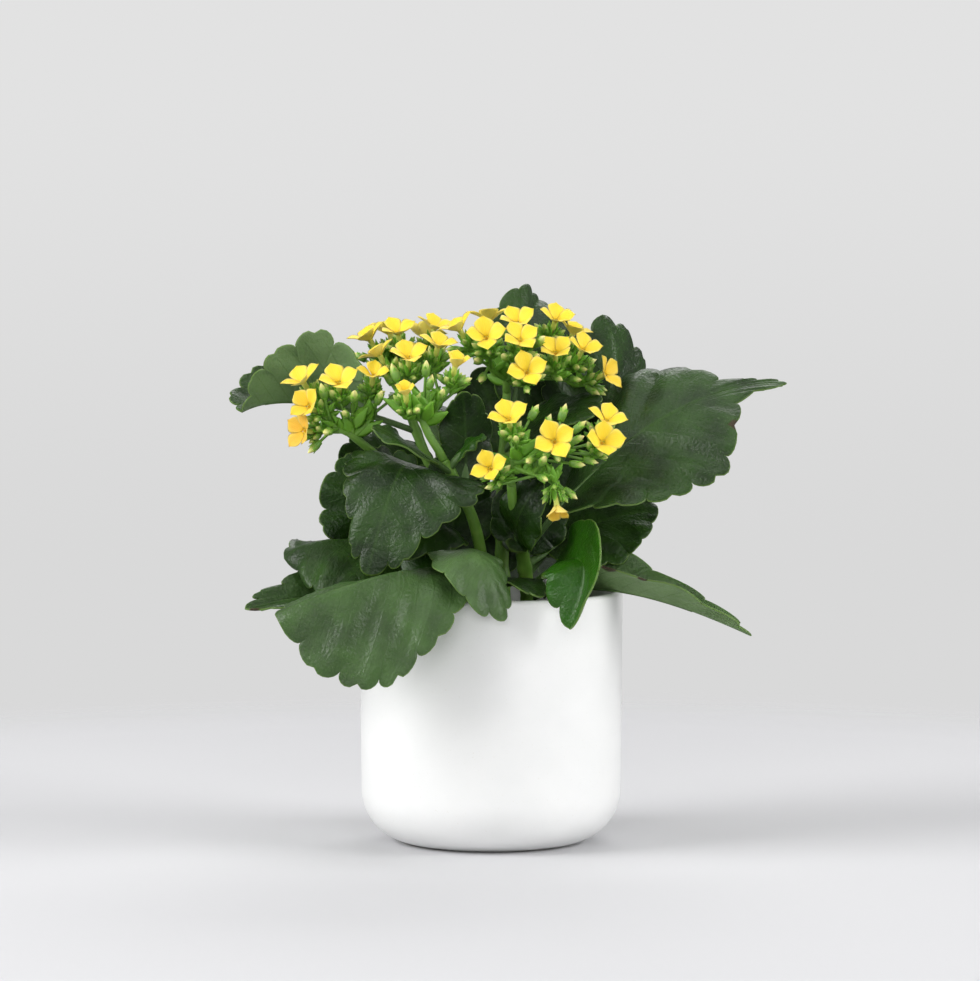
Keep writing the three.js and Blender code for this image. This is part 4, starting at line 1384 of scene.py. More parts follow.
@dataclass(frozen=True)
class Bloom:
    """One open flower, given by its throat and the way it faces.

    size scales it, lift is how steeply its petals rise in degrees, and age turns yellow to gold.
    """

    at: Point
    face: Point
    size: float = 1
    lift: float = 33
    spin: float = 0
    age: float = 0

    MARKS: ClassVar[tuple[str, ...]] = ("above", "reach", "across", "age", "tube", "anther")
    PETAL_GRID: ClassVar[tuple[int, int, float]] = (15, 9, 0.9)
    PETAL: ClassVar[float] = 10.1
    HALF: ClassVar[float] = 4.6
    FOOT_WIDTH: ClassVar[float] = 0.27
    PETAL_SIZES: ClassVar[tuple[float, float]] = (0.95, 1.02)
    LIFT_RANGE: ClassVar[float] = 8
    PETAL_SWAY: ClassVar[float] = 0.06
    THROAT: ClassVar[float] = 1.25
    SPREAD: ClassVar[float] = math.pi / 4
    RISE: ClassVar[float] = 0.35
    BELLY: ClassVar[float] = 0.5
    KEEL: ClassVar[float] = 0.22
    CURLS: ClassVar[tuple[float, float]] = (-0.08, 0.14)
    TWIST: ClassVar[float] = 0.07
    RUFFLE: ClassVar[float] = 0.25
    CUP: ClassVar[float] = 0.3
    DROOP: ClassVar[float] = 0.6
    THICK: ClassVar[float] = 0.5
    TUBE: ClassVar[float] = 6.2
    TUBE_FOOT: ClassVar[float] = 1.15
    TUBE_SIDES: ClassVar[int] = 16
    ANTHER: ClassVar[tuple[float, float]] = (0.26, 0.42)
    ANTHER_AT: ClassVar[Point] = (0.45, 0, 0.25)

    def petal(
        self, mould: Mould, turn: float, place: np.ndarray, dice: np.random.Generator
    ) -> None:
        """Adds one petal.

        Args:
            mould: The bloom's piece.
            turn: Which way the petal points, in radians.
            place: The turn of the whole bloom.
            dice: What makes the petals differ.
        """
        u, v = blank(*self.PETAL_GRID)
        size = self.size * dice.uniform(*self.PETAL_SIZES)
        lift = math.radians(self.lift + dice.uniform(-self.LIFT_RANGE, self.LIFT_RANGE))
        fullness = np.where(u < 0.5, 0.62, 1.25)
        width = np.hypot(np.sin(np.pi * u).clip(0) ** fullness, self.FOOT_WIDTH * (1 - u))
        width = width * self.HALF * size
        reach = self.PETAL * size * u
        blend = smooth(u, 0, 0.14)
        aside = (1 - blend) * self.THROAT * np.sin(self.SPREAD * v) + blend * width * v
        ahead = self.THROAT + reach * math.cos(lift)
        ahead = ahead - self.THROAT * (1 - np.cos(self.SPREAD * v)) * (1 - u) ** 4
        curl = dice.uniform(*self.CURLS)
        height = self.RISE + reach * math.sin(lift) + self.CUP * width * v**2 * (1 - 0.5 * u)
        height = height - self.DROOP * size * u**3 + self.BELLY * np.sin(np.pi * u)
        height = height - self.KEEL * np.exp(-((v / 0.2) ** 2)) * np.sin(np.pi * u)
        height = height + curl * width * v * u + self.TWIST * width * v
        height = height + self.RUFFLE * np.sin(5 * u + 9 * turn) * v**2 * u
        grid = np.stack([ahead, aside, height], axis=-1)
        thickness = self.THICK * (1 - 0.45 * np.abs(v)) * (1 - 0.3 * u)
        points, faces, above = plate(grid, thickness)
        reach_mark, across_mark = (
            np.concatenate([values, values[:, -2:0:-1]], axis=1) for values in (u, v)
        )
        mould.add(
            turned(points, turn) @ place.T + self.at, faces,
            above=above, reach=reach_mark, across=across_mark, age=self.age,
        )

    def tube(self, mould: Mould, place: np.ndarray) -> None:
        """Adds the tube that carries the petals, and its throat.

        Args:
            mould: The bloom's piece.
            place: The turn of the whole bloom.
        """
        foot, throat, sides = self.TUBE_FOOT, self.THROAT, self.TUBE_SIDES
        outside = [
            (0.3, -self.TUBE), (foot, -self.TUBE), (foot * 1.06, -3.5), (throat * 0.95, -1),
            (throat, 0),
        ]
        inside = [
            (throat * 0.98, 0.42), (throat * 0.72, 0.3), (throat * 0.55, -0.6),
            (throat * 0.5, -2.2), (0.1, -2.4),
        ]
        green = np.repeat([1.0] * len(outside) + [0.3] * len(inside), sides)
        profile = np.array(outside + inside)
        points = lathe(profile, sides, 0.06) @ place.T + self.at
        mould.add(points, ring_faces(len(profile), sides), tube=green, above=1.0)

    def build(self, name: str, finish: bpy.types.Material, seed: int) -> None:
        """Makes the bloom: four petals, the tube that carries them, and the anthers in its throat.

        Args:
            name: The bloom's solid.
            finish: The petals' yellow.
            seed: What makes the blooms differ.
        """
        dice = np.random.default_rng(seed)
        mould = Mould(self.MARKS)
        place = facing(self.face, self.spin)
        for k in range(4):
            sway = dice.uniform(-self.PETAL_SWAY, self.PETAL_SWAY)
            self.petal(mould, k * QUARTER + sway, place, dice)
        self.tube(mould, place)
        heights = np.linspace(-1, 1, 5)
        girth, half = self.ANTHER
        bead = lathe(np.stack([np.sqrt(1.02 - heights**2) * girth, heights * half], axis=1), 8)
        out, _, up = self.ANTHER_AT
        for k in range(4):
            turn = math.pi / 4 + k * QUARTER
            at = np.array([out * math.cos(turn), out * math.sin(turn), up])
            mould.add((bead + at) @ place.T + self.at, ring_faces(5, 8), anther=1.0)
        mould.cast(f"{name}_petals", finish, name)


@dataclass
class Branch:
    """One branch of a head and what it bears."""

    line: tuple[Point, Point, Point]
    held: list[tuple[float, Bloom | Point]] = field(default_factory=list)


@dataclass(frozen=True)
class Head:
    """A flower head: its stem grows on from a shoot's, and branches bear its blooms and buds."""

    name: str
    shoot: str
    route: tuple[Point, ...]
    branches: tuple[Point, ...]
    blooms: tuple[Bloom, ...]
    buds: tuple[Point, ...]
    stem: int = 0

    MARKS: ClassVar[tuple[str, ...]] = ("sepal", "bud", "tip")
    JOINT_GAP: ClassVar[float] = 0.3
    RADII: ClassVar[tuple[float, float]] = (2, 1.8)
    BRANCH: ClassVar[tuple[float, float]] = (1.4, 1.0)
    SINK: ClassVar[float] = 1.6
    STAGGER: ClassVar[float] = 0.7
    SAG: ClassVar[float] = 1
    SPREAD: ClassVar[float] = 0.8
    PEDICEL: ClassVar[float] = 0.65
    STEM_LEAD: ClassVar[float] = 5
    STEM_STEPS: ClassVar[int] = 30
    BRANCH_STEPS: ClassVar[int] = 16
    STEM_SIDES: ClassVar[int] = 14
    BRANCH_SIDES: ClassVar[int] = 10
    PEDICEL_SIDES: ClassVar[int] = 8
    BUD_SIDES: ClassVar[int] = 12
    CUP_SIDES: ClassVar[int] = 16
    CALYX_BELOW: ClassVar[float] = 6.5
    CALYX_DEPTH: ClassVar[float] = 3
    CUP: ClassVar[tuple[tuple[float, float], ...]] = (
        (0.5, -3), (0.75, -2.9), (1.5, -2.2), (2.0, -1.3), (2.12, -0.5), (2.02, 0.3), (1.75, 0.5),
        (1.5, 0.1), (0.2, 0),
    )
    SEPAL: ClassVar[float] = 6
    SEPAL_WIDTH: ClassVar[float] = 0.27
    SEPAL_ROOT: ClassVar[float] = 1.85
    SEPAL_FLARE: ClassVar[float] = 1.2
    BUD: ClassVar[float] = 8
    BUD_RADIUS: ClassVar[float] = 1.9
    BUD_SIZES: ClassVar[tuple[float, float]] = (0.85, 1.08)
    BUD_ENDS: ClassVar[tuple[float, float]] = (-0.45, 0.55)
    BUD_WAIST: ClassVar[float] = -0.13
    BUD_SEPAL: ClassVar[float] = 5.8
    YOUNG: ClassVar[int] = 7
    YOUNG_BRACTS: ClassVar[int] = 2
    YOUNG_TILT: ClassVar[tuple[float, float]] = (25, 60)
    YOUNG_REACH: ClassVar[tuple[float, float]] = (5.5, 8.5)
    YOUNG_SIZE: ClassVar[tuple[float, float]] = (0.55, 0.9)
    BRACT: ClassVar[tuple[float, float]] = (5.5, 9.5)
    BRACT_WIDTH: ClassVar[float] = 1.5
    LEAFY: ClassVar[float] = 1.8
    LEAFY_AT: ClassVar[tuple[float, ...]] = (0.0, 0.35, 0.7)
    LEAFY_SEED: ClassVar[int] = 500

    def stem_line(self, shoot: Shoot) -> np.ndarray:
        """Lays out the head's stem, which starts just above its shoot's.

        Args:
            shoot: The shoot that it grows on from.

        Returns:
            The points that it passes.
        """
        below, end = (np.array(p, float) for p in shoot.stems[self.stem][-2:])
        along = unit(end - below)
        start = [end + along * gap for gap in (self.JOINT_GAP, self.STEM_LEAD)]
        return np.array([*start, *self.route], float)

    def arms(self, stem: np.ndarray) -> list[Branch]:
        """Lays out the head's branches, which leave its stem one below another.

        Args:
            stem: The points that the stem passes.

        Returns:
            The branches, still bare.
        """
        hub = stem[-1]
        down = unit(stem[-2] - hub)
        arms = []
        for place, end in enumerate(self.branches):
            start = hub + down * (self.SINK + self.STAGGER * place)
            middle = (start + end) / 2 - [0, 0, self.SAG]
            arms.append(Branch((tuple(start), tuple(middle), end)))
        return arms

    def hold(self, arms: list[Branch], hub: np.ndarray) -> None:
        """Gives each bloom and bud to the branch whose end is nearest.

        Args:
            arms: The head's branches.
            hub: The top of its stem.
        """
        targets = []
        for bloom in self.blooms:
            reach = unit(np.array(bloom.face)) * (self.CALYX_BELOW + self.CALYX_DEPTH)
            targets.append((np.array(bloom.at) - reach, bloom))
        targets += [(np.array(bud, float), bud) for bud in self.buds]
        for target, what in targets:
            gaps = [np.linalg.norm(np.array(arm.line[-1]) - target) for arm in arms]
            nearest = int(np.argmin(gaps))
            reach = gaps[nearest] + np.linalg.norm(target - hub)
            arms[nearest].held.append((reach, what))

    def sepals(
        self, mould: Mould, place: np.ndarray, at: np.ndarray, radius: float, length: float,
        flare: float, base: float,
    ) -> None:
        """Adds four pointed sepals round a calyx or a bud.

        Args:
            mould: The head's piece.
            place: The turn of the flower.
            at: The flower's own origin.
            radius: How far from the axis they start.
            length: How long they are.
            flare: How far out their tips stand from there.
            base: Their foot's height along the axis.
        """
        u, v = blank(7, 5)
        width = self.SEPAL_WIDTH * length * (1 - u**1.6) ** 0.9 * (0.75 + 0.6 * u) + 0.04
        out = radius + flare * u**1.6 - 0.22 * width * v**2
        grid = np.stack([out, width * v, base + length * u], axis=-1)
        points, faces, _ = plate(grid, 0.5 * (1 - 0.5 * np.abs(v)) * (1 - 0.4 * u))
        for k in range(4):
            mould.add(turned(points, k * QUARTER) @ place.T + at, faces, sepal=1.0)

    def pedicel(self, mould: Mould, start: np.ndarray, foot: np.ndarray, face: np.ndarray) -> None:
        """Adds a flower's own thin stalk, which bends into the way that the flower faces.

        Args:
            mould: The head's piece.
            start: Where it leaves its branch.
            foot: The flower's foot.
            face: The way that the flower faces.
        """
        length = np.linalg.norm(foot - start)
        middle = (start + foot) / 2 * 0.6 + (foot - face * 0.45 * length) * 0.4
        t = np.linspace(0, 1, 9)[:, None]
        radii = self.PEDICEL * (1 + 0.25 * (1 - t[:, 0]) ** 3)
        mould.rod(bow(start, middle, foot, t), radii, self.PEDICEL_SIDES)

    def calyx(self, mould: Mould, bloom: Bloom, start: np.ndarray) -> None:
        """Adds a bloom's stalk, cup and sepals.

        Args:
            mould: The head's piece.
            bloom: The bloom.
            start: Where its stalk leaves its branch.
        """
        face = unit(np.array(bloom.face, float))
        at = np.array(bloom.at, float)
        top = -self.CALYX_BELOW
        foot = at + face * (top - self.CALYX_DEPTH)
        self.pedicel(mould, start, foot + face * 0.3, face)
        place = facing(bloom.face, bloom.spin + math.pi / 4)
        cup = np.array([(radius, top + height) for radius, height in self.CUP])
        points = lathe(cup, self.CUP_SIDES, 0.04) @ place.T + at
        mould.add(points, ring_faces(len(cup), self.CUP_SIDES), sepal=0.7)
        self.sepals(mould, place, at, self.SEPAL_ROOT, self.SEPAL, self.SEPAL_FLARE, top - 0.7)

    def young(self, mould: Mould, bloom: Bloom, dice: np.random.Generator) -> None:
        """Adds the small buds that stand round a bloom's foot, with bracts among them.

        Args:
            mould: The head's piece.
            bloom: The bloom.
            dice: What makes the buds differ.
        """
        place = facing(bloom.face)
        foot = place @ [0, 0, -self.CALYX_BELOW - self.CALYX_DEPTH - 1] + bloom.at
        for k in range(self.YOUNG):
            turn = 2 * math.pi * (k + dice.uniform(0.1, 0.7)) / self.YOUNG
            tilt = math.radians(dice.uniform(*self.YOUNG_TILT))
            aside = math.sin(tilt)
            lean = np.array([aside * math.cos(turn), aside * math.sin(turn), math.cos(tilt)])
            middle = foot + place @ lean * dice.uniform(*self.YOUNG_REACH)
            self.bud(mould, tuple(middle), foot, dice, dice.uniform(*self.YOUNG_SIZE))
            for _ in range(self.YOUNG_BRACTS):
                self.bract(mould, foot - place @ [0, 0, dice.uniform(-1, 4)], dice)

    def bud(
        self, mould: Mould, middle: Point, start: np.ndarray, dice: np.random.Generator,
        scale: float = 1.0,
    ) -> None:
        """Adds a bud on its stalk, pale at its tip, with its sepals about it.

        Args:
            mould: The head's piece.
            middle: The bud's middle.
            start: Where its stalk leaves a branch.
            dice: What makes the buds differ.
            scale: Its size beside a full bud.
        """
        target = np.array(middle, float)
        face = unit(target - start)
        size = dice.uniform(*self.BUD_SIZES) * scale
        self.pedicel(mould, start, target - face * 0.42 * self.BUD * scale, face)
        heights = np.linspace(*self.BUD_ENDS, 12)
        taper = np.where(heights < self.BUD_WAIST, 0.5, 0.68)
        girth = np.clip(1 - np.abs((heights - self.BUD_WAIST) / taper) ** 1.9, 0, 1)
        radii = self.BUD_RADIUS * girth * size + 0.05
        sides = self.BUD_SIDES
        points = lathe(np.stack([radii, self.BUD * heights * size], axis=1), sides, 0.07)
        place = facing(face, dice.uniform(0, 1.5))
        share = np.repeat(heights, sides)
        ripe = smooth(scale, 0.6, 1)
        mould.add(
            points @ place.T + target, ring_faces(len(heights), sides),
            bud=smooth(share, -0.1, 0.25) * 0.75 * (0.4 + 0.6 * ripe),
            tip=smooth(share, 0.15, 0.5) * 0.9 * ripe,
        )
        length = self.BUD_SEPAL * size
        foot = self.BUD_ENDS[0] * self.BUD * size
        self.sepals(mould, place, target, 1.15 * size, length, 0.9, foot)

    def bract(
        self, mould: Mould, start: np.ndarray, dice: np.random.Generator, scale: float = 1.0
    ) -> None:
        """Adds a narrow bract where a stalk leaves its branch.

        Args:
            mould: The head's piece.
            start: Where the stalk leaves.
            dice: What makes the bracts differ.
            scale: Its size beside a flower's bract.
        """
        u, v = blank(7, 5)
        length = scale * dice.uniform(*self.BRACT)
        width = (np.sin(np.pi * np.clip(u, 0.02, 0.98) ** 0.7) + 0.1) * self.BRACT_WIDTH * scale
        grid = np.stack([width * v, 0.3 * v**2 + 1.2 * u**2, length * u], axis=-1)
        points, faces, _ = plate(grid, 0.5 * (1 - 0.4 * np.abs(v)) * (1 - 0.3 * u))
        away = (dice.uniform(-1, 1), dice.uniform(-1, 1), dice.uniform(0.1, 1))
        mould.add(points @ facing(away).T + start, faces, sepal=0.8)

    def build(self, shoots: dict[str, Shoot], finish: bpy.types.Material, seed: int) -> None:
        """Makes the head's green part.

        Args:
            shoots: The plant's shoots by name.
            finish: The stalks' green.
            seed: What makes the heads differ.
        """
        dice, leafy = (np.random.default_rng(s) for s in (seed, seed + self.LEAFY_SEED))
        mould = Mould(self.MARKS)
        stem = self.stem_line(shoots[self.shoot])
        shares = np.linspace(0, 1, self.STEM_STEPS)
        radii = self.RADII[0] + (self.RADII[1] - self.RADII[0]) * shares
        mould.rod(through(stem, shares), radii, self.STEM_SIDES)
        arms = self.arms(stem)
        self.hold(arms, stem[-1])
        shares = np.linspace(0, 1, self.BRANCH_STEPS)
        radii = self.BRANCH[0] + (self.BRANCH[1] - self.BRANCH[0]) * shares
        for arm in arms:
            mould.rod(through(arm.line, shares), radii, self.BRANCH_SIDES, sepal=0.3)
            for start in through(arm.line, np.array(self.LEAFY_AT)):
                self.bract(mould, start, leafy, self.LEAFY)
            arm.held.sort(key=lambda pair: -pair[0])
            for place, (_, what) in enumerate(arm.held):
                share = np.array([1 - self.SPREAD * place / len(arm.held)])
                start = through(arm.line, share)[0]
                if isinstance(what, Bloom):
                    self.calyx(mould, what, start)
                    self.young(mould, what, dice)
                else:
                    self.bud(mould, what, start, dice)
                self.bract(mould, start, dice)
        mould.cast(f"{self.name}_stalks", finish, self.name)


# ---- The plant ----

# A leaf's wax share is partly waxy bloom and partly painted sheen.
SHOOTS = (
    Shoot(
        "shoot_left",
        (((-14, -8, 107), (-18, -8, 125), (-27, -9, 145), (-40, -12, 164), (-50, -16, 175)),),
        (
            Leaf("front_left_drape", 122, (-31, -84, 139), (-95, -78, 111), (-0.5, -0.68, 0.54),
                 half=44.5, right_share=0.42, stalk=0.17, lobes=5, skew=-0.36, left=(33, 39),
                 right=(37, 47), cut=0.5, wax=0.6),
            Leaf("left_drape", 153, (-35, -52, 207), (-55, -56, 126), (0.03, -0.48, 0.88),
                 half=39.5, right_share=0.69, stalk=0.24, skew=0.25, point=0.15, left=(3, 0),
                 right=(-11, 21), cut=0.75, wax=0.1),
            Leaf("low_left", 130, (-79, -30, 148), (-93, -25, 131), (0.42, -0.5, 0.75), half=38,
                 right_share=1.28, stalk=0.18, skew=0.01, point=0.06, left=(-6, 5), right=(45, 49),
                 wax=0.2),
            Leaf("lowest_left", 118, (-58, -24, 120), (-110, -42, 110), (0.17, -0.07, 0.98),
                 half=30, right_share=0.66, stalk=0.13, skew=0.2, point=0.3, left=(3, -18),
                 right=(-63, -8), wax=0.3, scars=(Scar(0.97, -1, 2.5),)),
            Leaf("mid_left", 145, (-39, -9, 151), (-77, -11, 163), (0.55, -0.79, 0.26), half=32,
                 right_share=0.96, stalk=0.11, skew=-0.05, point=0.05, left=(41, -26),
                 right=(5, -2), wax=0.0),
            Leaf("rim_pale", 114, (-12, -66, 164), (6, -67, 107), (0.12, -0.6, 0.75), half=15,
                 right_share=1.35, stalk=0.22, skew=0.1, left=(20, 45), right=(0, 15), wax=0.9),
            Leaf("rim_tip", 126, (-26, -34, 148), (-45, -28, 117), (-0.07, -0.6, 0.8), half=14,
                 lobes=3, left=(-10, 18), right=(-7, 25), fresh=0.4),
            Leaf("centre_left", 137, (-20, -30, 163), (-47, -37, 133), (0.06, -0.61, 0.79), half=22,
                 left=(-8, 19), right=(-11, 17), wax=0.05),
            Leaf("inner_left", 126, (-16, 0, 150), (-17, 3, 178), (0, -0.97, 0.2), half=19,
                 wax=0.0),
        ),
    ),
    Shoot(
        "shoot_centre",
        (((-2, -12, 107), (-3, -15, 122), (-7, -24, 145), (-14, -31, 163), (-21, -34, 176)),),
        (
            Leaf("upper_blade", 159, (-10, -19, 186), (-13, -35, 207), (0.12, -0.96, 0.24),
                 half=12.5, lobes=3, left=(-16, 19), right=(-11, 19), wax=0.1),
            Leaf("bract_left", 170, (-42, -54, 188), (-52, -42, 192), (-0.04, -0.28, 0.96), half=8,
                 lobes=3, left=(-9, 18), right=(-6, 19), wax=0.15),
            Leaf("bract_right", 172, (-8, -38, 188), (-2, -39, 186), (0, -0.51, 0.86), half=4,
                 lobes=2, fresh=0.4, wax=0.0),
            Leaf("rim_small", 114, (11, -43, 131), (22, -62, 117), (0.27, -0.44, 0.86), half=12,
                 lobes=3, left=(-3, 16), right=(-10, 14), wax=0.05),
        ),
    ),
    Shoot(
        "shoot_right",
        (((17, -10, 107), (16, -14, 120), (13, -26, 140), (10, -38, 156), (9, -45, 166)),),
        (
            Leaf("right_sail", 132, (71, -36, 212), (134, -4, 209), (-0.59, 0.04, 0.81), half=39,
                 right_share=1.14, stalk=0.12, lobes=6, skew=0, point=0.84, narrow=(0.55, 0.86),
                 left=(-54, -22), right=(45, 58), cut=0.6, wax=0.18, scars=(Scar(0.7, 1, 3.5),)),
            # Its fresh share is partly young green and partly painted light shining through the
            # leaf.
            Leaf("rim_bright", 116, (54, -66, 155), (35, -65, 103), (0.12, -0.61, 0.78), half=19.5,
                 stalk=0.11, lobes=3, skew=-0.14, point=0.01, left=(-70, -80), right=(-7, 39),
                 fresh=0.8, wax=0.0),
            Leaf("right_spear", 111, (47, -20, 129), (117, -32, 97), (0.25, -0.3, 0.92), half=16,
                 right_share=1.3, stalk=0.12, skew=0.58, point=0.03, left=(-61, -54),
                 right=(-61, -34), wax=1.0, scars=(Scar(0.4, 1, 4), Scar(0.55, 1, 2.5))),
            Leaf("right_mid", 127, (50, -2, 152), (76, -4, 150), (0, -0.66, 0.75), half=25,
                 right=(-10, 19), wax=0.1),
            Leaf("right_low", 122, (43, 18, 155), (64, 6, 141), (-0.26, -0.32, 0.91), half=22,
                 left=(15, 51), right=(-8, 21), wax=0.1, fresh=0.3),
            Leaf("centre_right", 137, (6, -46, 146), (23, -46, 168), (-0.17, -0.84, 0.52), half=14,
                 lobes=3, left=(6, 14), right=(-27, 22), wax=0.0),
            Leaf("inner_right", 126, (17, -16, 148), (20, -16, 172), (0, -0.97, 0.2), half=18,
                 lobes=3, wax=0.0),
        ),
    ),
    Shoot(
        "shoot_back",
        (
            ((6, 18, 107), (5, 17, 130), (5, 13, 155), (6, 10, 180), (7, 9, 200)),
            ((5, 15, 138), (12, 23, 158), (19, 31, 174)),
        ),
        (
            Leaf("under_blooms", 177, (22, -7, 201), (51, -18, 198), (0.01, -0.58, 0.81), half=16,
                 left=(-8, 21), wax=0.08),
            Leaf("dark_right", 151, (74, 8, 200), (51, 29, 239), (0.49, -0.83, 0.27), half=31.5,
                 right_share=0.95, stalk=0.12, lobes=5, skew=-0.12, point=0.05, left=(16, 30),
                 right=(27, 29), wax=0.1),
            Leaf("top", 165, (15, 22, 239), (22, 48, 245), (0.52, -0.59, 0.61), half=21,
                 right_share=1.24, stalk=0.24, skew=0.04, point=0.19, left=(-34, 15),
                 right=(-27, -8), wax=0.22),
            # Painted shade: the shade shares darken the undersides of back_low and back_right.
            Leaf("back_low", 120, (20, 60, 150), (25, 92, 100), (0, 0.41, 0.91), half=38, wax=0.25,
                 shade=0.9),
            Leaf("back_right", 130, (45, 41, 160), (68, 56, 138), (0.4, 0.42, 0.82), half=32,
                 shade=0.8),
            Leaf("back_high", 144, (21, 52, 182), (30, 66, 182), (0.04, 0.5, 0.87), half=27,
                 right=(-6, 20)),
            Leaf("back_centre", 157, (5, 27, 187), (-6, 21, 215), (-0.1, -0.95, 0.29), half=21,
                 left=(-4, 20), right=(-7, 20)),
            Leaf("back_inner", 116, (2, 22, 128), (-8, 24, 148), (0, -0.97, 0.2), half=15, lobes=3,
                 wax=0),
        ),
    ),
    Shoot(
        "shoot_back_left",
        (((-14, 18, 107), (-16, 18, 130), (-22, 16, 155), (-31, 14, 178), (-37, 14, 194)),),
        (
            Leaf("far_left", 186, (-91, 16, 208), (-113, -5, 196), (0.26, 0.24, 0.93), half=34,
                 right_share=0.98, stalk=0.17, point=0.13, left=(-58, -68), right=(-8, -85),
                 wax=0.35),
            # Painted shade: the shade share darkens this leaf's underside.
            Leaf("back_left_low", 122, (-42, 55, 150), (-62, 72, 112), (-0.41, 0.41, 0.82), half=34,
                 wax=0.25, shade=0.8),
            Leaf("back_middle", 150, (-27, 48, 195), (-32, 64, 198), (0, 0.65, 0.76), half=26),
            Leaf("back_left_high", 138, (-45, 28, 168), (-70, 28, 176), (-0.1, -0.75, 0.65),
                 half=25, wax=0.1),
        ),
    ),
)

HEADS = (
    Head(
        "head_a", "shoot_left", ((-57, -21, 182), (-64, -25, 188)),
        ((-72, -28, 193), (-62, -27, 197), (-52, -24, 197)),
        (
            Bloom((-84, -24, 210), (-0.5, -0.3, 0.8)),
            Bloom((-68, -31, 210), (0, -0.6, 0.8), spin=0.4),
            Bloom((-53, -26, 213), (0.1, -0.5, 0.85), size=0.8),
            Bloom((-81, -35, 200), (-0.5, -0.75, 0.45), spin=0.3, size=0.9, age=0.3),
            Bloom((-83, -32, 189), (-0.7, -0.7, 0.1), spin=0.3, size=0.9, age=0.9),
        ),
        (
            (-61, -38, 205), (-65, -36, 197), (-73, -38, 189), (-79, -34, 182), (-43, -24, 204),
            (-57, -20, 206), (-75, -36, 207), (-50, -32, 204),
        ),
    ),
    Head(
        "head_b", "shoot_centre", ((-28, -35, 188), (-31, -35, 195)),
        ((-40, -33, 202), (-30, -32, 204), (-22, -30, 203)),
        (
            Bloom((-50, -17, 222), (-0.5, 0, 0.85), size=0.9),
            Bloom((-37, -26, 221), (0, -0.5, 0.85), spin=0.3),
            Bloom((-24, -22, 226), (0.2, -0.3, 0.9), size=0.9),
            Bloom((-38, -42, 206), (-0.1, -0.5, 0.85), size=0.6, lift=60),
            Bloom((-16, -34, 218), (0.2, -0.3, 0.9), size=0.75, lift=55),
        ),
        (
            (-29, -37, 217), (-33, -45, 199), (-43, -31, 215), (-27, -36, 211), (-12, -30, 210),
            (-22, -42, 206), (-18, -24, 212), (-46, -24, 212),
        ),
    ),
    Head(
        "head_c", "shoot_back", ((7, 7, 206), (7, 4, 212)),
        ((-2, -6, 218), (12, -10, 218), (26, -6, 218), (34, 0, 214)),
        (
            Bloom((-2, -22, 230), (-0.1, -0.75, 0.65), spin=0.1),
            Bloom((-14, -4, 233), (-0.5, -0.2, 0.85), size=0.9),
            Bloom((-1, 3, 237), (0, 0.1, 1)),
            Bloom((12, -8, 236), (0, -0.5, 0.85), spin=0.5, size=0.95),
            Bloom((29, -2, 237), (0.25, -0.5, 0.85), spin=0.2, size=0.9),
            Bloom((13, -24, 229), (0.1, -0.7, 0.7), size=0.9, spin=0.6),
            Bloom((37, 4, 231), (0.3, -0.1, 0.9), size=0.85),
            Bloom((29, -20, 223), (0, -0.6, 0.8), size=0.9, spin=0.7),
            Bloom((41, -9, 224), (0.4, -0.5, 0.75), spin=0.3, size=0.9),
            Bloom((51, -8, 213), (0.8, -0.4, 0.4), size=0.9, age=0.3),
            Bloom((16, -30, 215), (0.1, -0.85, 0.5), spin=0.4),
        ),
        (
            (22, -24, 229), (6, -26, 222), (38, -10, 211), (46, -6, 206), (-6, -20, 220),
            (30, -14, 212), (-4, -16, 212), (20, -26, 222), (44, 4, 218), (4, 8, 226), (16, 6, 226),
        ),
    ),
    Head(
        "head_d", "shoot_right", ((9, -49, 172), (9, -51, 178)),
        ((20, -52, 180), (32, -52, 182), (12, -50, 186), (24, -56, 171)),
        (
            Bloom((8, -54, 195), (-0.1, -0.6, 0.8), spin=0.3),
            Bloom((28, -64, 186), (0, -0.9, 0.45), spin=0.5),
            Bloom((51, -46, 194), (0.3, -0.5, 0.8), size=0.9),
            Bloom((49, -57, 185), (0.3, -0.8, 0.5), spin=0.3),
            Bloom((0, -63, 174), (-0.3, -0.85, 0.45), size=0.85, spin=0.1),
            Bloom((29, -65, 158), (0.1, -0.4, -0.9), size=0.7, lift=50, age=0.6),
        ),
        (
            (19, -46, 198), (32, -48, 198), (39, -52, 192), (38, -61, 187), (11, -62, 187),
            (17, -63, 178), (23, -66, 178), (23, -65, 170), (35, -60, 163), (44, -54, 177),
            (38, -60, 176), (25, -50, 194), (1, -56, 166),
        ),
    ),
    Head(
        "head_e", "shoot_back_left", ((-39, 14, 202), (-41, 14, 209)),
        ((-49, 14, 214), (-33, 12, 214)),
        (
            Bloom((-55, 10, 228), (-0.5, -0.2, 0.85)),
            Bloom((-46, 20, 230), (-0.1, 0.3, 0.95)),
            Bloom((-42, 3, 231), (-0.1, -0.45, 0.88), spin=0.5, size=0.9),
            Bloom((-26, 8, 233), (0.25, -0.2, 0.95), spin=0.3, size=0.9),
            Bloom((-30, 24, 228), (0.2, 0.5, 0.85)),
        ),
        ((-42, 12, 226), (-36, 20, 224), (-60, 20, 220), (-22, 16, 220), (-46, 30, 220)),
    ),
    Head(
        "head_f", "shoot_back", ((22, 35, 182), (24, 38, 188)),
        ((16, 44, 194), (32, 42, 194)),
        (
            Bloom((10, 48, 207), (-0.4, 0.3, 0.85)),
            Bloom((24, 58, 205), (0.1, 0.65, 0.75), spin=0.4),
            Bloom((27, 38, 211), (0.1, -0.1, 1), spin=0.2),
            Bloom((42, 48, 206), (0.5, 0.3, 0.8)),
        ),
        ((19, 42, 209), (35, 52, 206), (14, 56, 200), (40, 58, 198)),
        stem=1,
    ),
)


# ---- Studio ----


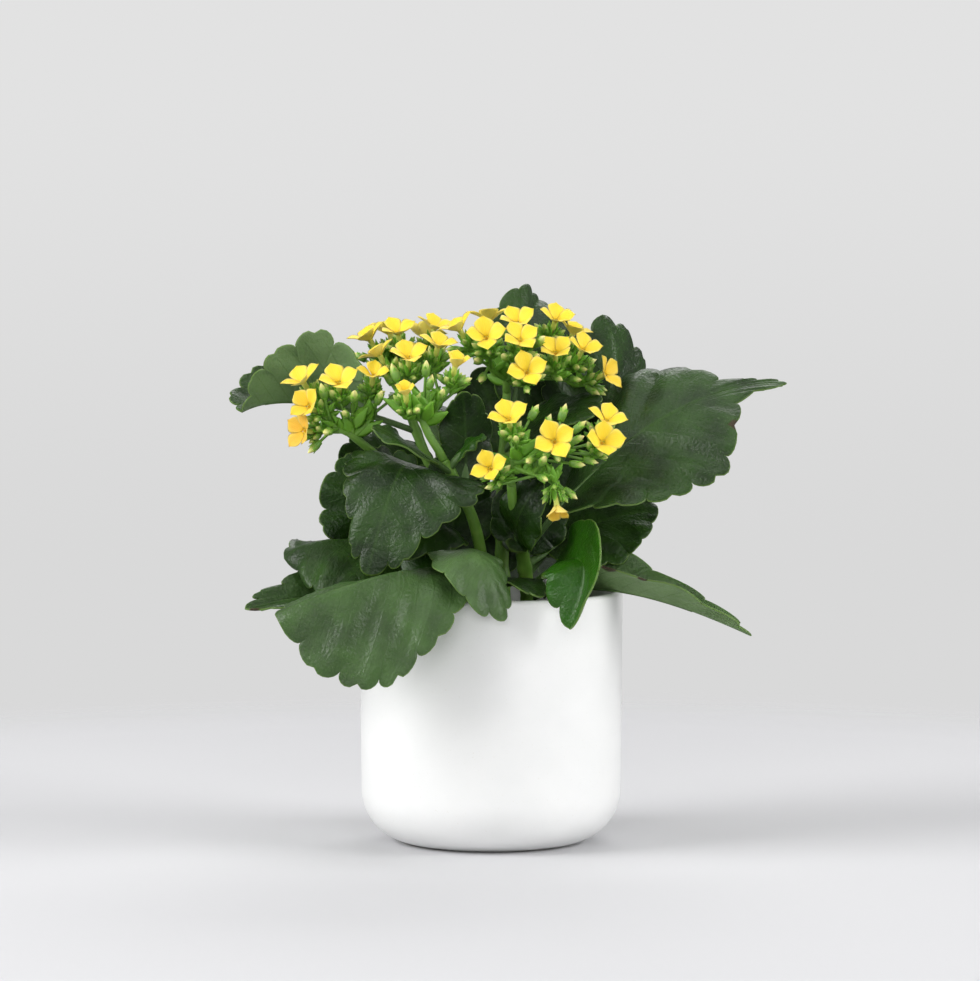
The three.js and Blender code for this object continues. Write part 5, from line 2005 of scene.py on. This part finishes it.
@dataclass(frozen=True)
class Lamp:
    """A soft rectangular light: where it hangs and its size in metres, and its power in watts."""

    name: str
    at: Point
    size: tuple[float, float]
    power: float

    AIM: ClassVar[Point] = (0, 0, 0.13)

    def hang(self) -> None:
        """Hangs the light so that it looks at the plant."""
        lamp = bpy.data.lights.new(self.name, "AREA")
        lamp.shape = "RECTANGLE"
        lamp.size, lamp.size_y = self.size
        lamp.energy = self.power
        holder = bpy.data.objects.new(self.name, lamp)
        holder.location = self.at
        way = Vector(self.AIM) - Vector(self.at)
        holder.rotation_euler = way.to_track_quat("-Z", "Y").to_euler()
        bpy.context.scene.collection.objects.link(holder)


@dataclass(frozen=True)
class Studio:
    """The pale round floor, the haze about it, the soft lights and the camera, in metres."""

    floor_radius: float = 0.63
    floor_sides: int = 96
    haze_radius: float = 8
    haze_reach: float = 89
    haze_rings: int = 33
    haze_sides: int = 64
    sky_strength: float = 0.22
    camera_at: Point = (-0.00045, -2.2, 0.317)
    camera_pitch: float = 4.08
    camera_sees: float = 50
    lens: float = 178.1
    sensor: float = 36

    LAMPS: ClassVar[tuple[Lamp, ...]] = (
        Lamp("key", (-1.55, -0.6, 1.0), (1.0, 1.0), 30),
        Lamp("fill", (1.6, -0.55, 0.8), (1.0, 1.0), 22),
        Lamp("overhead", (0, -0.25, 1.9), (1.2, 1.0), 9),
        Lamp("front", (-0.1, -2.6, 0.9), (1.8, 1.0), 18),
        Lamp("back", (0.3, 1.6, 1.5), (1.4, 0.8), 14),
    )

    def shell(
        self, name: str, points: np.ndarray, faces: Faces, paint: bpy.types.Material,
        felt: bool = True,
    ) -> None:
        """Makes one part of the surroundings.

        Args:
            name: Its name.
            points: Its points.
            faces: Its faces.
            paint: Its finish.
            felt: Whether it throws light and shadow on what stands in it.
        """
        mesh = bpy.data.meshes.new(name)
        mesh.from_pydata(points.tolist(), [], faces)
        mesh.polygons.foreach_set("use_smooth", [True] * len(mesh.polygons))
        mesh.materials.append(paint)
        shell = bpy.data.objects.new(name, mesh)
        shell.visible_diffuse = shell.visible_glossy = felt
        shell.visible_transmission = shell.visible_shadow = felt
        bpy.context.scene.collection.objects.link(shell)

    def backdrop(self) -> None:
        """Makes the floor and the haze, which gives the plant no light of its own."""
        disc = lathe(np.array([[self.floor_radius, 0]]), self.floor_sides)
        self.shell("floor", disc, [tuple(range(self.floor_sides))], StudioPaint().material())
        turns = np.radians(np.linspace(-self.haze_reach, self.haze_reach, self.haze_rings))
        profile = self.haze_radius * np.stack([np.cos(turns), np.sin(turns)], axis=1)
        faces = ring_faces(self.haze_rings, self.haze_sides)
        dome = lathe(profile, self.haze_sides)
        self.shell("haze", dome, faces, StudioHaze().material(), felt=False)

    def lights(self) -> None:
        """Lights the plant softly from both sides and above, a little stronger from the left."""
        for lamp in self.LAMPS:
            lamp.hang()
        world = bpy.data.worlds.new("studio")
        world.use_nodes = True
        backing = world.node_tree.nodes["Background"]
        backing.inputs["Color"].default_value = (1, 1, 1, 1)
        backing.inputs["Strength"].default_value = self.sky_strength
        bpy.context.scene.world = world
        bpy.context.scene.view_settings.view_transform = "Standard"

    def camera(self) -> None:
        """Sets the camera at the photograph's viewing angle."""
        lens = bpy.data.cameras.new("camera")
        lens.lens = self.lens
        lens.sensor_width = self.sensor
        lens.clip_end = self.camera_sees
        eye = bpy.data.objects.new("camera", lens)
        eye.location = self.camera_at
        eye.rotation_euler = (math.radians(90 - self.camera_pitch), 0, 0)
        bpy.context.scene.collection.objects.link(eye)
        bpy.context.scene.camera = eye


def main() -> None:
    """Builds the pot, the soil, the shoots, the heads with their blooms, and then the studio."""
    logging.basicConfig(level=logging.INFO, format="%(message)s")
    pot = Pot()
    pot.build(Glaze())
    Soil(pot).build(Compost())
    leaf_finish = LeafSkin().material()
    stalk_finish = StalkSkin().material()
    petal_finish = PetalSkin().material()
    for shoot in SHOOTS:
        shoot.build(leaf_finish, stalk_finish)
    shoots = {shoot.name: shoot for shoot in SHOOTS}
    for place, head in enumerate(HEADS):
        head.build(shoots, stalk_finish, HEAD_SEED + place)
        for number, bloom in enumerate(head.blooms, 1):
            name = f"{head.name.replace('head', 'bloom')}_{number}"
            bloom.build(name, petal_finish, BLOOM_SEEDS * place + number)
    studio = Studio()
    studio.backdrop()
    studio.lights()
    studio.camera()


if __name__ == "__main__":
    main()
